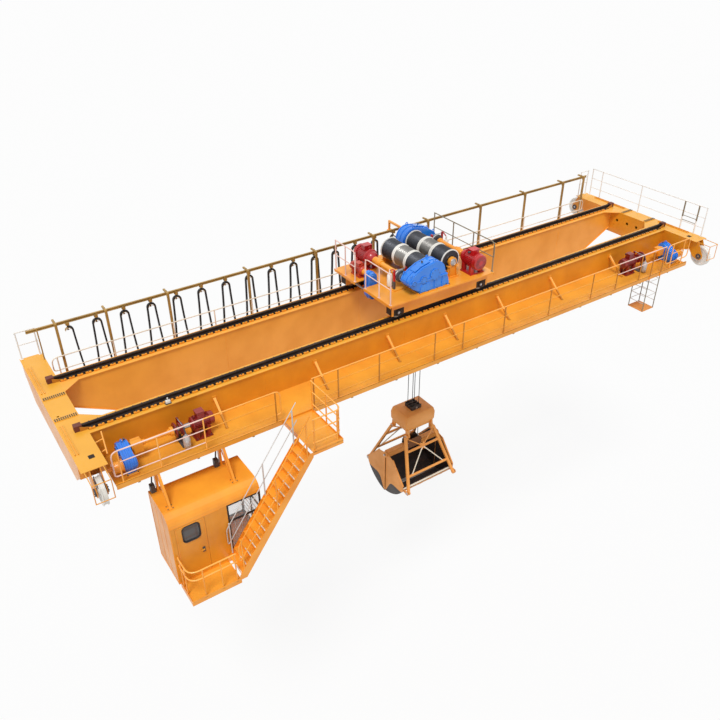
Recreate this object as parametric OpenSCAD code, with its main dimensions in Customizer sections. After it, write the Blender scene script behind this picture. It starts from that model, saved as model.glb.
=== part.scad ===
// Grab bridge crane: a double box-girder overhead crane with a four-rope
// clamshell grab, a driver's cab under the left end and a cable festoon at the rear.
// X runs along the span, +Y to the rear, +Z up, millimetres. The origin is on the
// underside of the left end carriage, midway between the girders.

/* [Bridge] */
// Distance between the two end carriages, centre to centre
span = 22500; // [20000:500:24000]
// Distance between the two trolley rails
gauge = 2500; // [2400:50:2600]
// Depth of each box girder at mid span
girder_d = 1450; // [1400:10:1500]
// Depth of the girders where they meet the carriages
girder_end_d = 750; // [700:10:800]
// Width of the girder flanges
flange_w = 560; // [520:10:600]
// Width of an end carriage
carriage_w = 620; // [600:10:660]
// Depth of an end carriage
carriage_d = 900; // [880:10:940]
// Level of the walkway floors below the girder tops
walk_drop = 870; // [860:10:900]

/* [Trolley] */
// Place of the grab and the trolley's middle along the span
trolley_x = 11550; // [11500:10:11600]
// Height of the trolley deck over the girder tops
deck_z = 700; // [690:10:720]
// Radius of the trolley wheels
trolley_wheel_r = 175; // [170:1:180]
// Radius of the rope drums
drum_r = 340; // [320:5:345]

/* [Cab] */
// Length of the driver's cab along the span
cab_l = 2500; // [2400:50:2550]
// Depth of the driver's cab across the span
cab_w = 1270; // [1240:10:1300]

/* [Grab] */
// Length of the shells along the span
shell_l = 2440; // [2400:10:2460]
// Level of the grab head's top below the girder tops
head_drop = 4810; // [4700:10:4900]

/* [Hidden] */
$fn = 48;
carrier_n = 14;

crane_yellow = "orange";
dark = "dimgray";
steel = "silver";

// Running and moving clearances
shaft_gap = 0.05;
rest_gap = 0.3;

// Bridge
half = gauge / 2;
web_t = 10;
web_out = 240;
taper_l = 1400;
girder_x0 = carriage_w / 2;
girder_l = span - carriage_w;
rail_h = 130;
rail_base_w = 110;
rail_head_w = 70;
floor_t = 8;
walk_z = -walk_drop;
walk_in = half + web_out;
walk_front = 2770;
walk_rear = 2450;
walk_x0 = 400;
walk_x1 = span - 400;
rail_posts_front = [450, 1550, 2750, 4760, 6700, 8080, 10090, 11190, 12880, 14880, 16900,
                    18160, 19400, 20600, 21800, 22050];
rail_posts_rear = [450, 2190, 4050, 5400, 6700, 9200, 11500, 13900, 16400, 18700, 20800, 22050];
rail_h_levels = [270, 660, 1000];
tie_x = [3570, 6700, 9240, 11480, 13690, 16140, 19200];

// Carriage wheels
wheel_y = 3020;
wheel_r = 370;
wheel_z = -carriage_d + 330;
carriage_end = 2580;
carriage_end_d = 420;
wheel_w = 130;
axle_r = 45;
fork_x = 110;
fork_t = 20;

// Landings, stair and cab, as places from the origin
landing_x = [4930, 5830];
landing_y = [-4320, -walk_front];
stair_y = [-4320, -3575];
stair_top = [4930, walk_z];
cab_x0 = 1200;
cab_y1 = -2290;
cab_y0 = cab_y1 - cab_w;
cab_z0 = -4060;
cab_z1 = -1780;
cab_round = 330;
wall_t = 40;
stair_foot = [2580, cab_z0];
tread_n = 14;
stair_levels = [600, 1150];
door_x = [1330, 2130];
door_z = [cab_z0 + 60, cab_z0 + 1900];
glass_x0 = 2740;
glass_z0 = -3800;
transom_z = -2690;

// Service cage under the right end
cage_x = [19980, 20580];
cage_y = [-walk_front, -2150];
cage_z = -2260;

// Festoon
track_y = 2620;
track_z = 860;
track_h = 80;
post_y = 2400;
carrier_x0 = 1110;
carrier_step = 810;
carrier_l = 130;
cable_r = 24;
cable_w = 40;
saddle_r = 90;
saddle_z = track_z - 245;
bend_r = saddle_r + cable_r + 4;
loop_depth = 1900;

// Trolley
deck_x = [9310, 13400];
deck_half = 1560;
deck_t = 20;
sill_y = [half - 150, half + 150];
axle_x = [9730, 13000];
axle_z = rail_h + trolley_wheel_r + rest_gap;
drum_off = 500;
drum_z = deck_z + 520;
input_off = 800;
input_z = deck_z + 420;
well_x = 420;
well_y = 420;
rope_r = 12;
rope_x = drum_off - drum_r - rope_r - 1;
tow_x = carrier_x0 + carrier_n * carrier_step;

// Grab, with levels from the girder tops
grab_x = trolley_x;
head_z = -head_drop;
arm_top = [600, 430, head_z - 860];
arm_low = [1040, 1250, head_z - 2710];
hinge_z = head_z - 1690;
shell_r = 1460;
shell_c = [-200, -300];
shell_t = 30;
pin_r = 40;
plate_t = 20;

// Everything is drawn with z = 0 at the girder tops and lifted into place
module lift() { translate([0, 0, carriage_d]) children(); }

// A round bar between two points
module rod(a, b, r, sides = 8) {
    d = b - a;
    l = norm(d);
    translate(a) rotate([0, acos(d[2] / l), atan2(d[1], d[0])]) cylinder(h = l, r = r, $fn = sides);
}

// A box from its two opposite corners
module block(a, b) { translate(a) cube(b - a); }

// A cylinder along Y from y0 to y1
module along_y(x, y0, y1, z, r, sides = 48) {
    translate([x, y1, z]) rotate([90, 0, 0]) cylinder(h = y1 - y0, r = r, $fn = sides);
}

// A cylinder along X from x0 to x1
module along_x(x0, x1, y, z, r, sides = 48) {
    translate([x0, y, z]) rotate([0, 90, 0]) cylinder(h = x1 - x0, r = r, $fn = sides);
}

// A plate of a given outline in X and Z, from y0 to y1
module plate_xz(y0, y1, pts) {
    translate([0, y1, 0]) rotate([90, 0, 0]) linear_extrude(y1 - y0) polygon(pts);
}

// A plate of a given outline in Y and Z, from x0 to x1
module plate_yz(x0, x1, pts) {
    translate([x0, 0, 0]) rotate([90, 0, 90]) linear_extrude(x1 - x0) polygon(pts);
}

// ---- Bridge ----

function girder_outline(top, low, extra) = [
    [girder_x0 - extra, top], [girder_x0 + girder_l + extra, top],
    [girder_x0 + girder_l + extra, -girder_end_d + low],
    [girder_x0 + girder_l - taper_l, -girder_d + low],
    [girder_x0 + taper_l, -girder_d + low], [girder_x0 - extra, -girder_end_d + low]];

// One box girder on the +Y side: a tube of webs and flanges with tapered ends
module girder() {
    flare = 370;
    color(crane_yellow) translate([0, half, 0]) union() {
        difference() {
            plate_xz(-web_out, web_out, girder_outline(0, 0, 0));
            plate_xz(-web_out + web_t, web_out - web_t, girder_outline(-20, 16, 50));
        }
        block([girder_x0, -flange_w / 2, -20], [girder_x0 + girder_l, flange_w / 2, 0]);
        for (end = [0, 1])
            translate([end * span, 0, 0]) mirror([end, 0, 0])
                translate([0, 0, -20]) linear_extrude(20)
                    polygon([[girder_x0, -flange_w / 2 + 20], [girder_x0, -flange_w / 2 - flare],
                             [girder_x0 + 500, -flange_w / 2 + 20]]);
    }
}

module trolley_rail(y) {
    color("darkslategray") {
        translate([30, y, 0]) rotate([90, 0, 90]) linear_extrude(span - 60)
            polygon([[-rail_base_w / 2, 0], [rail_base_w / 2, 0], [rail_base_w / 2, 18], [12, 34],
                     [12, 90], [rail_head_w / 2, 100], [rail_head_w / 2, rail_h],
                     [-rail_head_w / 2, rail_h], [-rail_head_w / 2, 100], [-12, 90], [-12, 34],
                     [-rail_base_w / 2, 18]]);
        for (x = [110, span - 110])
            block([x - 90, y - 75, 0], [x + 90, y + 75, rail_h + 30]);
    }
}

// A carriage's side: full depth in the middle, shallow over the wheels
function carriage_side(inset) =
    let (half_side = [[1950, -carriage_d + inset], [carriage_end - 120, -carriage_end_d + inset],
                      [carriage_end - inset, -carriage_end_d + inset], [carriage_end - inset, -inset]])
    concat(half_side, [for (i = [3:-1:0]) [-half_side[i][0], half_side[i][1]]]);

// An end carriage: a box beam with a fork for a wheel at each end. inner is +1 when
// the girders lie on its +X side
module end_carriage(inner) {
    color(crane_yellow) difference() {
        union() {
            difference() {
                plate_yz(-carriage_w / 2, carriage_w / 2, carriage_side(0));
                plate_yz(-carriage_w / 2 + 14, carriage_w / 2 - 14, carriage_side(15));
            }
            for (s = [-1, 1]) {
                block([-carriage_w / 2, s > 0 ? carriage_end - 10 : -2900, -16],
                      [carriage_w / 2, s > 0 ? 2900 : -carriage_end + 10, 0]);
                for (f = [-1, 1])
                    translate([f > 0 ? fork_x : -fork_x - fork_t, 0, 0])
                        plate_yz(0, fork_t, [for (p = [[carriage_end - 10, -carriage_end_d], [2780, -660],
                            [2960, -710], [3080, -710], [3160, -630], [3160, -510], [2980, -200],
                            [2890, -8], [carriage_end - 10, -8]])
                            [s * p[0], p[1]]]);
            }
        }
        for (s = [-1, 1])
            along_x(-400, 400, s * wheel_y, wheel_z, axle_r + shaft_gap);
        for (y = [-280, 165, 660])
            along_x(inner > 0 ? 200 : -400, inner > 0 ? 400 : -200, y, -340, 55);
        for (y = [-420, 560])
            translate([-inner * 150, y, -40]) cylinder(h = 80, r = 30);
    }
    // Thin bar guard that hangs from the front fork
    color("lightyellow") for (x = [-240, 200])
        rod([x, -3440, -20], [x, -3440, -560], 12);
    color("lightyellow") for (x = [-240, 200])
        rod([x, -2890, -8], [x, -3440, -20], 12);
    color("lightyellow") rod([-250, -3440, -560], [210, -3440, -560], 12);
    color("lightyellow") rod([-250, -3440, -20], [210, -3440, -20], 12);
}

module carriage_wheel() {
    color(steel) rotate([0, 90, 0]) union() {
        cylinder(h = wheel_w - 40, r = wheel_r - 25, center = true);
        for (s = [-1, 1])
            translate([0, 0, s * (wheel_w / 2 - 10)]) cylinder(h = 20, r = wheel_r, center = true);
        cylinder(h = 2 * (fork_x - 8), r = 90, center = true);
        cylinder(h = 2 * (fork_x + fork_t + 25), r = axle_r, center = true);
    }
}

module walkway_floor(y0, y1) {
    block([walk_x0, y0, walk_z - floor_t], [walk_x1, y1, walk_z]);
}

// Both walkways: floor plate, edge channel, brackets below and stay bars to the web
module walkways() {
    color(crane_yellow) {
        union() {
            walkway_floor(-walk_front, -walk_in);
            block([walk_x0, -walk_front, walk_z - 90], [walk_x1, -walk_front + 10, walk_z + 60]);
            for (x = [900:1550:21100])
                plate_yz(x, x + 10, [[-walk_front + 5, walk_z - 4], [-walk_in, walk_z - 4],
                                     [-walk_in, walk_z - 380], [-walk_front + 5, walk_z - 90]]);
            // stay bars, each from a pad on the web down to the floor
            for (x = tie_x) {
                block([x - 60, -walk_in - 20, -360], [x + 60, -walk_in, -230]);
                rod([x, -walk_in - 16, -295], [x, -2160, walk_z - 4], 22, 6);
            }
        }
        mirror([0, 1, 0]) union() {
            walkway_floor(-walk_rear, -walk_in);
            block([walk_x0, -walk_rear, walk_z - 90], [walk_x1, -walk_rear + 10, walk_z + 60]);
            for (x = [900:1500:21900])
                plate_yz(x, x + 10, [[-walk_rear + 5, walk_z - 4], [-walk_in, walk_z - 4],
                                     [-walk_in, walk_z - 300], [-walk_rear + 5, walk_z - 90]]);
        }
    }
}

// A straight handrail run along X with posts at the given places
module railing_x(x0, x1, y, z, posts, levels = rail_h_levels, r = 18) {
    for (h = levels)
        along_x(x0, x1, y, z + h, r, 8);
    for (x = posts)
        block([x - 20, y - 20, z], [x + 20, y + 20, z + levels[len(levels) - 1]]);
}

// A straight handrail run along Y
module railing_y(x, y0, y1, z, posts, levels = rail_h_levels, r = 18) {
    for (h = levels)
        along_y(x, y0, y1, z + h, r, 8);
    for (y = posts)
        block([x - 20, y - 20, z], [x + 20, y + 20, z + levels[len(levels) - 1]]);
}

module walkway_handrails() {
    color("lightyellow") {
        railing_x(430, landing_x[0] - 20, -walk_front + 40, walk_z, [for (x = rail_posts_front) if (x < 4900) x]);
        railing_x(landing_x[1] + 20, 22070, -walk_front + 40, walk_z,
                  concat([landing_x[1] + 40], [for (x = rail_posts_front) if (x > 6000) x]));
        railing_x(430, 22070, walk_rear - 50, walk_z, rail_posts_rear, [460, 880]);
    }
}

// The rail on the right carriage's outer edge, and short ones over the rear wheels
module end_handrails() {
    color("lightyellow") {
        railing_y(span + 280, -2700, 2700, 0, [-2680, -2350, -1750, 210, 2170, 2680], [330, 710, 1100]);
        railing_x(-280, 280, 2860, 0, [-260, 260], [450, 850]);
        block([260, 2480, 0], [300, 2520, 1000]);
        railing_x(span - 260, span + 220, 2860, 0, [span - 240, span + 200], [500, 1000]);
    }
}

module mid_landing() {
    color(crane_yellow) union() {
        block([landing_x[0], landing_y[0], walk_z - floor_t], [landing_x[1], landing_y[1], walk_z]);
        block([landing_x[1] - 10, landing_y[0], walk_z - 100], [landing_x[1], landing_y[1], walk_z + 60]);
        block([landing_x[0], landing_y[0], walk_z - 100], [landing_x[1], landing_y[0] + 10, walk_z + 60]);
        block([landing_x[0], stair_y[1] - 10, walk_z - 100], [landing_x[0] + 10, landing_y[1], walk_z + 60]);
    }
    color("lightyellow") union() {
        railing_y(landing_x[1] - 30, landing_y[0] + 30, landing_y[1] - 20, walk_z,
                  [landing_y[0] + 50, -3550, landing_y[1] - 40]);
    }
    color("lightyellow") railing_x(landing_x[0] + 20, landing_x[1] - 80, landing_y[0] + 30, walk_z,
                                   [landing_x[0] + 40, landing_x[1] - 100]);
}

// The stair from the mid landing down to the cab landing
function tread(i) = stair_top + (stair_foot - stair_top) * i / (tread_n + 1);

module stair() {
    color(crane_yellow) {
        for (y = [stair_y[0], stair_y[1] - 10])
            plate_xz(y, y + 10, [stair_top, stair_top + [0, -150], stair_foot + [190, 0],
                                 stair_foot, stair_foot + [0, 150], stair_top + [-111, 0]]);
        for (i = [1:tread_n])
            let (p = tread(i))
                block([p[0] - 110, stair_y[0] + 10, p[1] - 30], [p[0] + 90, stair_y[1] - 10, p[1]]);
    }
}

// Sloping rails whose posts stand against the stringers' inner faces
module stair_handrails() {
    top = stair_top + [-40, 0];
    low = stair_foot + [60, 20];
    color("lightyellow") for (y = [stair_y[0] + 28, stair_y[1] - 28]) {
        union() {
            for (h = stair_levels)
                rod([top[0], y, top[1] + h], [low[0], y, low[1] + h], 17);
            for (i = [1, 7, 14])
                let (p = tread(i))
                    block([p[0] - 28, y - 18, p[1] + 76],
                          [p[0] + 8, y + 18, p[1] + stair_levels[1]]);
        }
    }
}

// ---- Cab ----

cab_x1 = cab_x0 + cab_l;

module cab_hangers() {
    color(crane_yellow) for (x = [1400, 3150]) {
        union() {
            block([x, -2440, cab_z1], [x + 60, -2320, walk_z - floor_t]);
            block([x - 60, -2480, cab_z1], [x + 120, -2300, cab_z1 + 20]);
            plate_yz(x, x + 60, [[-2600, walk_z - floor_t], [-2700, walk_z - floor_t],
                                 [-3230, cab_z1 + 5], [-3130, cab_z1 + 5]]);
            block([x - 60, -3260, cab_z1], [x + 120, -3080, cab_z1 + 14]);
        }
    }
}

module cab_floor() {
    color(crane_yellow) block([cab_x0, cab_y0, cab_z0], [cab_x1, cab_y1, cab_z0 + 60]);
}

// A side outline of the cab with its rounded front shoulder, front at low Y
function cab_outline(inset) = concat(
    [[cab_y1 - inset, cab_z0 + 60], [cab_y1 - inset, cab_z1 - inset]],
    [for (a = [0:15:90]) [cab_y0 + cab_round - (cab_round - inset) * sin(a),
                          cab_z1 - cab_round + (cab_round - inset) * cos(a)]],
    [[cab_y0 + inset, cab_z0 + 60]]);

// The roof sheet with the curved shoulder that runs down to the front wall's top
module cab_roof() {
    color(crane_yellow) difference() {
        plate_yz(cab_x0, cab_x1, cab_outline(0));
        plate_yz(cab_x0 - 1, cab_x1 + 1, cab_outline(wall_t));
        block([cab_x0 - 1, cab_y0 - 1, cab_z0], [cab_x1 + 1, cab_y1 + 1, cab_z1 - cab_round]);
    }
}

// Left and rear walls and the front wall round the door
module cab_walls() {
    z0 = cab_z0 + 60;
    z1 = cab_z1 - cab_round;
    color(crane_yellow) {
        // left wall
        intersection() {
            plate_yz(cab_x0, cab_x0 + wall_t, cab_outline(wall_t));
            block([0, -9000, z0], [9000, 0, 0]);
        }
        // rear wall
        block([cab_x0, cab_y1 - wall_t, z0], [glass_x0, cab_y1, z1]);
        block([glass_x0, cab_y1 - wall_t, z0], [cab_x1, cab_y1, glass_z0]);
        // front wall left of the door, over it, and right of it up to the glazing
        block([cab_x0, cab_y0, z0], [door_x[0] - 5, cab_y0 + wall_t, z1]);
        block([door_x[0] - 5, cab_y0, door_z[1] + 5], [door_x[1] + 5, cab_y0 + wall_t, z1]);
        block([door_x[1] + 5, cab_y0, z0], [glass_x0, cab_y0 + wall_t, z1]);
        block([glass_x0, cab_y0, z0], [cab_x1, cab_y0 + wall_t, glass_z0]);
        // right wall below its glass, and over it up to the roof
        block([cab_x1 - wall_t, cab_y0 + wall_t, z0], [cab_x1, cab_y1 - wall_t, glass_z0]);
        intersection() {
            plate_yz(cab_x1 - wall_t, cab_x1, cab_outline(wall_t));
            block([0, -9000, z1], [9000, 0, 0]);
        }
    }
}

// Dark window frames with their panes: front right and the whole right end
module cab_glazing() {
    z1 = cab_z1 - cab_round;
    for (y = [cab_y0, cab_y1 - wall_t]) {
        color(dark) difference() {
            block([glass_x0, y + 4, glass_z0], [cab_x1, y + wall_t - 4, z1]);
            for (z = [[glass_z0 + 40, transom_z - 20], [transom_z + 20, z1 - 40]])
                block([glass_x0 + 40, y - 1, z[0]], [cab_x1 - 40, y + wall_t, z[1]]);
        }
        color("lightblue") for (z = [[glass_z0 + 40, transom_z - 20], [transom_z + 20, z1 - 40]])
            block([glass_x0 + 40, y + 16, z[0]], [cab_x1 - 40, y + 24, z[1]]);
    }
    color(dark) difference() {
        block([cab_x1 - wall_t + 4, cab_y0 + wall_t, glass_z0], [cab_x1 - 4, cab_y1 - wall_t, z1]);
        for (y = [[cab_y0 + wall_t + 40, (cab_y0 + cab_y1) / 2 - 20],
                  [(cab_y0 + cab_y1) / 2 + 20, cab_y1 - wall_t - 40]])
            block([cab_x1 - wall_t, y[0], glass_z0 + 40], [cab_x1, y[1], z1 - 40]);
    }
    color("lightblue") for (y = [[cab_y0 + wall_t + 40, (cab_y0 + cab_y1) / 2 - 20],
                                 [(cab_y0 + cab_y1) / 2 + 20, cab_y1 - wall_t - 40]])
        block([cab_x1 - 24, y[0], glass_z0 + 40], [cab_x1 - 16, y[1], z1 - 40]);
}

// A rounded window outline centred on a point, in X and Z
module window_hole(y0, y1, c, w, h, r) {
    translate([c[0], y1, c[1]]) rotate([90, 0, 0]) linear_extrude(y1 - y0) union() {
        square([w - 2 * r, h], center = true);
        square([w, h - 2 * r], center = true);
        for (sx = [-1, 1], sz = [-1, 1])
            translate([sx * (w / 2 - r), sz * (h / 2 - r)]) circle(r = r);
    }
}

window_c = [1740, -2480];

module cab_door() {
    color(crane_yellow) difference() {
        union() {
            block([door_x[0], cab_y0 + 2, door_z[0] + 5], [door_x[1], cab_y0 + wall_t - 2, door_z[1]]);
            block([door_x[1] - 150, cab_y0 - 40, -3230], [door_x[1] - 120, cab_y0 + 10, -3200]);
            block([door_x[1] - 220, cab_y0 - 40, -3230], [door_x[1] - 120, cab_y0 - 20, -3200]);
        }
        window_hole(cab_y0 - 10, cab_y0 + wall_t, window_c, 460, 520, 110);
    }
}

module door_window() {
    color("slategray") window_hole(cab_y0 + 16, cab_y0 + 24, window_c, 460, 520, 110);
}

// The landing before the cab door, with its handrail
module cab_landing() {
    x0 = cab_x0 + 40;
    x1 = stair_foot[0] + 200;
    y0 = stair_y[0];
    color(crane_yellow) union() {
        block([x0, y0, cab_z0 - 10], [x1, cab_y0, cab_z0]);
        block([x0, y0, cab_z0 - 110], [x1, y0 + 10, cab_z0 - 10]);
        block([x0, y0, cab_z0 - 11], [stair_foot[0], y0 + 10, cab_z0 + 60]);
        block([x0, y0, cab_z0 - 110], [x0 + 10, cab_y0, cab_z0 + 60]);
    }
    color("lightyellow") railing_x(x0 + 80, stair_foot[0] - 40, y0 + 30, cab_z0,
                                   [x0 + 100, (x0 + stair_foot[0]) / 2, stair_foot[0] - 60], [690, 980]);
    color("lightyellow") railing_y(x0 + 30, y0 + 30, cab_y0 - 60, cab_z0, [y0 + 50, cab_y0 - 80], [690, 980]);
}

// A hanging service cage: a floor, posts up the walkway's edge and under its floor,
// and rungs on both sides
module service_cage() {
    color(crane_yellow) union() {
        block([cage_x[0] - 15, cage_y[0] - 30, cage_z - 20], [cage_x[1] + 15, cage_y[1], cage_z]);
        for (x = cage_x) {
            block([x - 15, cage_y[0] - 30, cage_z - 20], [x + 15, cage_y[0], walk_z + 60]);
            block([x - 15, cage_y[1] - 30, cage_z - 20], [x + 15, cage_y[1], walk_z - floor_t]);
            for (z = [cage_z + 300:300:walk_z - 180])
                along_y(x, cage_y[0] - 10, cage_y[1] - 10, z, 10, 6);
        }
    }
}

// ---- Festoon ----

module festoon_track() {
    posts = [780, 2190, 4050, 6700, 9200, 11500, 13900, 16400, 18700, 20800, 22000];
    color("darkkhaki") union() {
        block([0, track_y - 30, track_z + track_h - 10], [22300, track_y + 30, track_z + track_h]);
        block([0, track_y - 5, track_z], [22300, track_y + 5, track_z + track_h]);
        block([0, track_y - 30, track_z], [22300, track_y + 30, track_z + 10]);
        for (x = posts) {
            block([x - 35, walk_rear, walk_z - 80], [x + 35, walk_rear + 60, track_z + track_h + 50]);
            block([x - 30, walk_rear + 10, track_z + track_h - 5], [x + 30, track_y + 180, track_z + track_h + 50]);
        }
        // fixed saddle for the first cable loop
        block([carrier_x0 - 50, track_y - 50, track_z - 70], [carrier_x0 + 50, track_y + 50, track_z + 5]);
        cable_saddle(carrier_x0);
    }
}

// A round saddle that the cable bends over, on its side plate
module cable_saddle(x) {
    along_y(x, track_y - cable_w, track_y + 50, saddle_z, saddle_r);
    block([x - 40, track_y + cable_w + 2, saddle_z - 30], [x + 40, track_y + 50, track_z - 60]);
}

// One carrier: cheeks and rollers round the track's lower flange, and a saddle below
module festoon_carrier(x) {
    color("darkkhaki") union() {
        translate([x, track_y, track_z]) {
            for (s = [-1, 1]) {
                block([-50, s * 45 - 5, -60], [50, s * 45 + 5, 55]);
                for (dx = [-30, 30])
                    along_y(dx, s > 0 ? 12 : -42, s > 0 ? 42 : -12, 10 + 17 + rest_gap, 17, 16);
            }
            block([-50, -50, -70], [50, 50, -50]);
        }
        cable_saddle(x);
    }
}

// The points of one hanging loop in X and Z: over half a saddle, down, and up to the
// top of the next one
function loop_points(x0, x1) =
    let (top = [for (a = [90:-22.5:0]) [x0 + bend_r * cos(a), saddle_z + bend_r * sin(a)]],
         w = (x1 - x0) / 2 - bend_r, n = 16,
         hang = [for (i = [1:n - 1]) let (s = 2 * i / n - 1)
             [x0 + bend_r + w + w * sign(s) * pow(abs(s), 0.6),
              saddle_z - loop_depth * (1 - pow(abs(s), 2.4))]])
    concat(top, hang, [for (i = [4:-1:0]) [x0 + x1 - top[i][0], top[i][1]]]);

// A flat cable of six sides along a list of X and Z points
module flat_tube(pts, y, r, w) {
    n = len(pts);
    dirs = [for (i = [0:n - 1])
        let (a = pts[max(i - 1, 0)], b = pts[min(i + 1, n - 1)], d = b - a) d / norm(d)];
    ring = [for (i = [0:n - 1], k = [0:5])
        let (o = r * cos(60 * k), v = w * sin(60 * k) / sin(60))
            [pts[i][0] - dirs[i][1] * o, y + v, pts[i][1] + dirs[i][0] * o]];
    sides = [for (i = [0:n - 2], k = [0:5])
        [i * 6 + k, i * 6 + (k + 1) % 6, (i + 1) * 6 + (k + 1) % 6, (i + 1) * 6 + k]];
    polyhedron(ring, concat(sides, [[for (k = [5:-1:0]) k], [for (k = [0:5]) (n - 1) * 6 + k]]));
}

module festoon_cables() {
    color("black") for (i = [0:carrier_n - 1])
        flat_tube(loop_points(carrier_x0 + i * carrier_step, carrier_x0 + (i + 1) * carrier_step),
                  track_y, cable_r, cable_w - 2);
}

// ---- Bridge travel drives on the front walkway ----

drive_y = -2050;
drive_z = -480;

module drives() { for (m = [0, 1]) translate([m * span, 0, 0]) mirror([m, 0, 0]) children(); }

module travel_gearboxes() {
    color("royalblue") drives() union() {
        block([760, -2420, -720], [1000, drive_y + 40, -260]);
        along_x(740, 1020, drive_y, drive_z + 60, 230);
        along_x(740, 1020, -2420, -580, 190);
        block([720, -2600, walk_z], [1040, drive_y + 180, walk_z + 60]);
    }
}

module travel_motors() {
    color("firebrick") drives() union() {
        along_x(2620, 3260, drive_y, drive_z + 60, 180);
        along_x(2580, 2640, drive_y, drive_z + 60, 140);
        block([2700, drive_y - 150, walk_z], [3180, drive_y + 150, drive_z - 60]);
        block([2820, drive_y - 60, drive_z + 200], [3060, drive_y + 160, drive_z + 300]);
    }
}

// Shafts and brakes between the gearboxes and the motors
module drive_shafts() {
    color(crane_yellow) drives() union() {
        along_x(1020, 2180, drive_y, drive_z + 60, 55, 24);
        along_x(2180, 2580, drive_y, drive_z + 60, 100, 24);
        block([2280, drive_y - 130, walk_z], [2480, drive_y + 130, drive_z - 90]);
        along_x(2300, 2460, drive_y, drive_z + 60, 160);
        block([2300, drive_y - 40, drive_z - 100], [2460, drive_y + 40, drive_z]);
    }
    color(crane_yellow) drives() union() {
        along_x(girder_x0, 740, -2420, -580, 50, 24);
        along_x(460, 740, -2420, -580, 150);
    }
}

// ---- Trolley ----

module trolley_frame() {
    z0 = 230;
    z1 = deck_z - deck_t;
    color(crane_yellow) difference() {
        union() {
            block([deck_x[0], -deck_half, z1], [deck_x[1], deck_half, deck_z]);
            for (s = [-1, 1]) {
                // side sill between the wheel boxes
                block([axle_x[0] + 260, s > 0 ? sill_y[0] : -sill_y[1], z0],
                      [axle_x[1] - 260, s > 0 ? sill_y[1] : -sill_y[0], z1 + 1]);
                // two cheek plates over each wheel
                for (x = axle_x, y = [sill_y[0], sill_y[1] - 20])
                    block([x - 262, s > 0 ? y : -y - 20, z0], [x + 262, s > 0 ? y + 20 : -y, z1 + 1]);
            }
            for (x = [10150, 12450])
                block([x, -sill_y[0] - 1, z1 - 300], [x + 260, sill_y[0] + 1, z1 + 1]);
        }
        // the sills and cross beams are boxes of plate
        for (s = [-1, 1])
            block([axle_x[0] + 280, s > 0 ? sill_y[0] + 20 : -sill_y[1] + 20, z0 + 20],
                  [axle_x[1] - 280, s > 0 ? sill_y[1] - 20 : -sill_y[0] - 20, z1 - 10]);
        for (x = [10150, 12450])
            block([x + 15, -sill_y[0] + 40, z1 - 285], [x + 245, sill_y[0] - 40, z1 - 10]);
        for (x = axle_x)
            along_y(x, -2000, 2000, axle_z, 50 + shaft_gap);
        // rope well, and the notch for the travel gearbox
        block([trolley_x - well_x, -well_y, 0], [trolley_x + well_x, well_y, deck_z + 1]);
        block([deck_x[0] - 1, -120, 0], [9960, 340, deck_z + 1]);
    }
    // the arm that tows the festoon: over the track, down behind it, and a fork that
    // takes the last carrier between its prongs
    color(crane_yellow) union() {
        block([tow_x - 30, deck_half - 60, deck_z], [tow_x + 30, deck_half, 1180]);
        block([tow_x - 30, deck_half - 60, 1110], [tow_x + 30, 2900, 1180]);
        block([tow_x - 30, 2840, track_z - 60], [tow_x + 30, 2900, 1180]);
        block([tow_x - 80, 2830, track_z - 60], [tow_x + 80, 2900, track_z - 10]);
        for (s = [-1, 1])
            block([tow_x + s * 70 - 10, track_y + 38, track_z - 60],
                  [tow_x + s * 70 + 10, 2840, track_z - 10]);
    }
}

// Outline of a hoist gearbox from its output shaft, input towards -X
module gearbox_outline() {
    union() {
        circle(r = 420);
        polygon([[-980, -500], [720, -500], [720, -440], [415, 60], [80, 412], [-860, 290],
                 [-980, 160]]);
    }
}

module hoist_gearbox() {
    translate([0, 0, drum_z]) rotate([90, 0, 0]) difference() {
        linear_extrude(500) gearbox_outline();
        translate([0, 0, -1]) cylinder(h = 81, r = 80 + shaft_gap);
    }
}

// Both hoists are alike: the second is the first turned half a turn about the rope well
module both_hoists() {
    children();
    translate([2 * trolley_x, 0, 0]) rotate([0, 0, 180]) children();
}

gearbox_y = -950;

module hoist_gearboxes() {
    color("royalblue") both_hoists() union() {
        translate([trolley_x - drum_off, gearbox_y, 0]) hoist_gearbox();
        block([trolley_x - drum_off - 980, gearbox_y - 500, deck_z], [trolley_x - drum_off + 720, gearbox_y, deck_z + 30]);
    }
}

module hoist_motors() {
    x = trolley_x - drum_off - input_off;
    color("firebrick") both_hoists() union() {
        along_y(x, 720, 1480, input_z, 270);
        along_y(x, 660, 730, input_z, 200);
        block([x - 220, 800, deck_z], [x + 220, 1400, input_z - 100]);
        block([x - 130, 950, input_z + 200], [x + 130, 1250, input_z + 330]);
    }
}

// The floating shaft and the brake at each gearbox's input
module hoist_brakes() {
    x = trolley_x - drum_off - input_off;
    color(dark) both_hoists() {
        union() {
            along_y(x, gearbox_y, 660, input_z, 70, 24);
            along_y(x, gearbox_y + 120, gearbox_y + 330, input_z, 190);
            block([x - 150, gearbox_y + 100, deck_z], [x + 150, gearbox_y + 350, input_z - 150]);
        }
        // pedestal bearing at the drum's free end
        difference() {
            union() {
                block([trolley_x - drum_off - 160, 980, deck_z], [trolley_x - drum_off + 160, 1080, drum_z]);
                along_y(trolley_x - drum_off, 980, 1080, drum_z, 160);
            }
            along_y(trolley_x - drum_off, 900, 1200, drum_z, 80 + shaft_gap);
        }
    }
}

module rope_drum() {
    color(dark) rotate([90, 0, 0]) union() {
        translate([0, 0, -930]) cylinder(h = 1860, r = drum_r);
        for (z = [-935, -330, 280, 905])
            translate([0, 0, z]) cylinder(h = 30, r = drum_r + 25);
        translate([0, 0, -1070]) cylinder(h = 2090, r = 80);
    }
}

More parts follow.
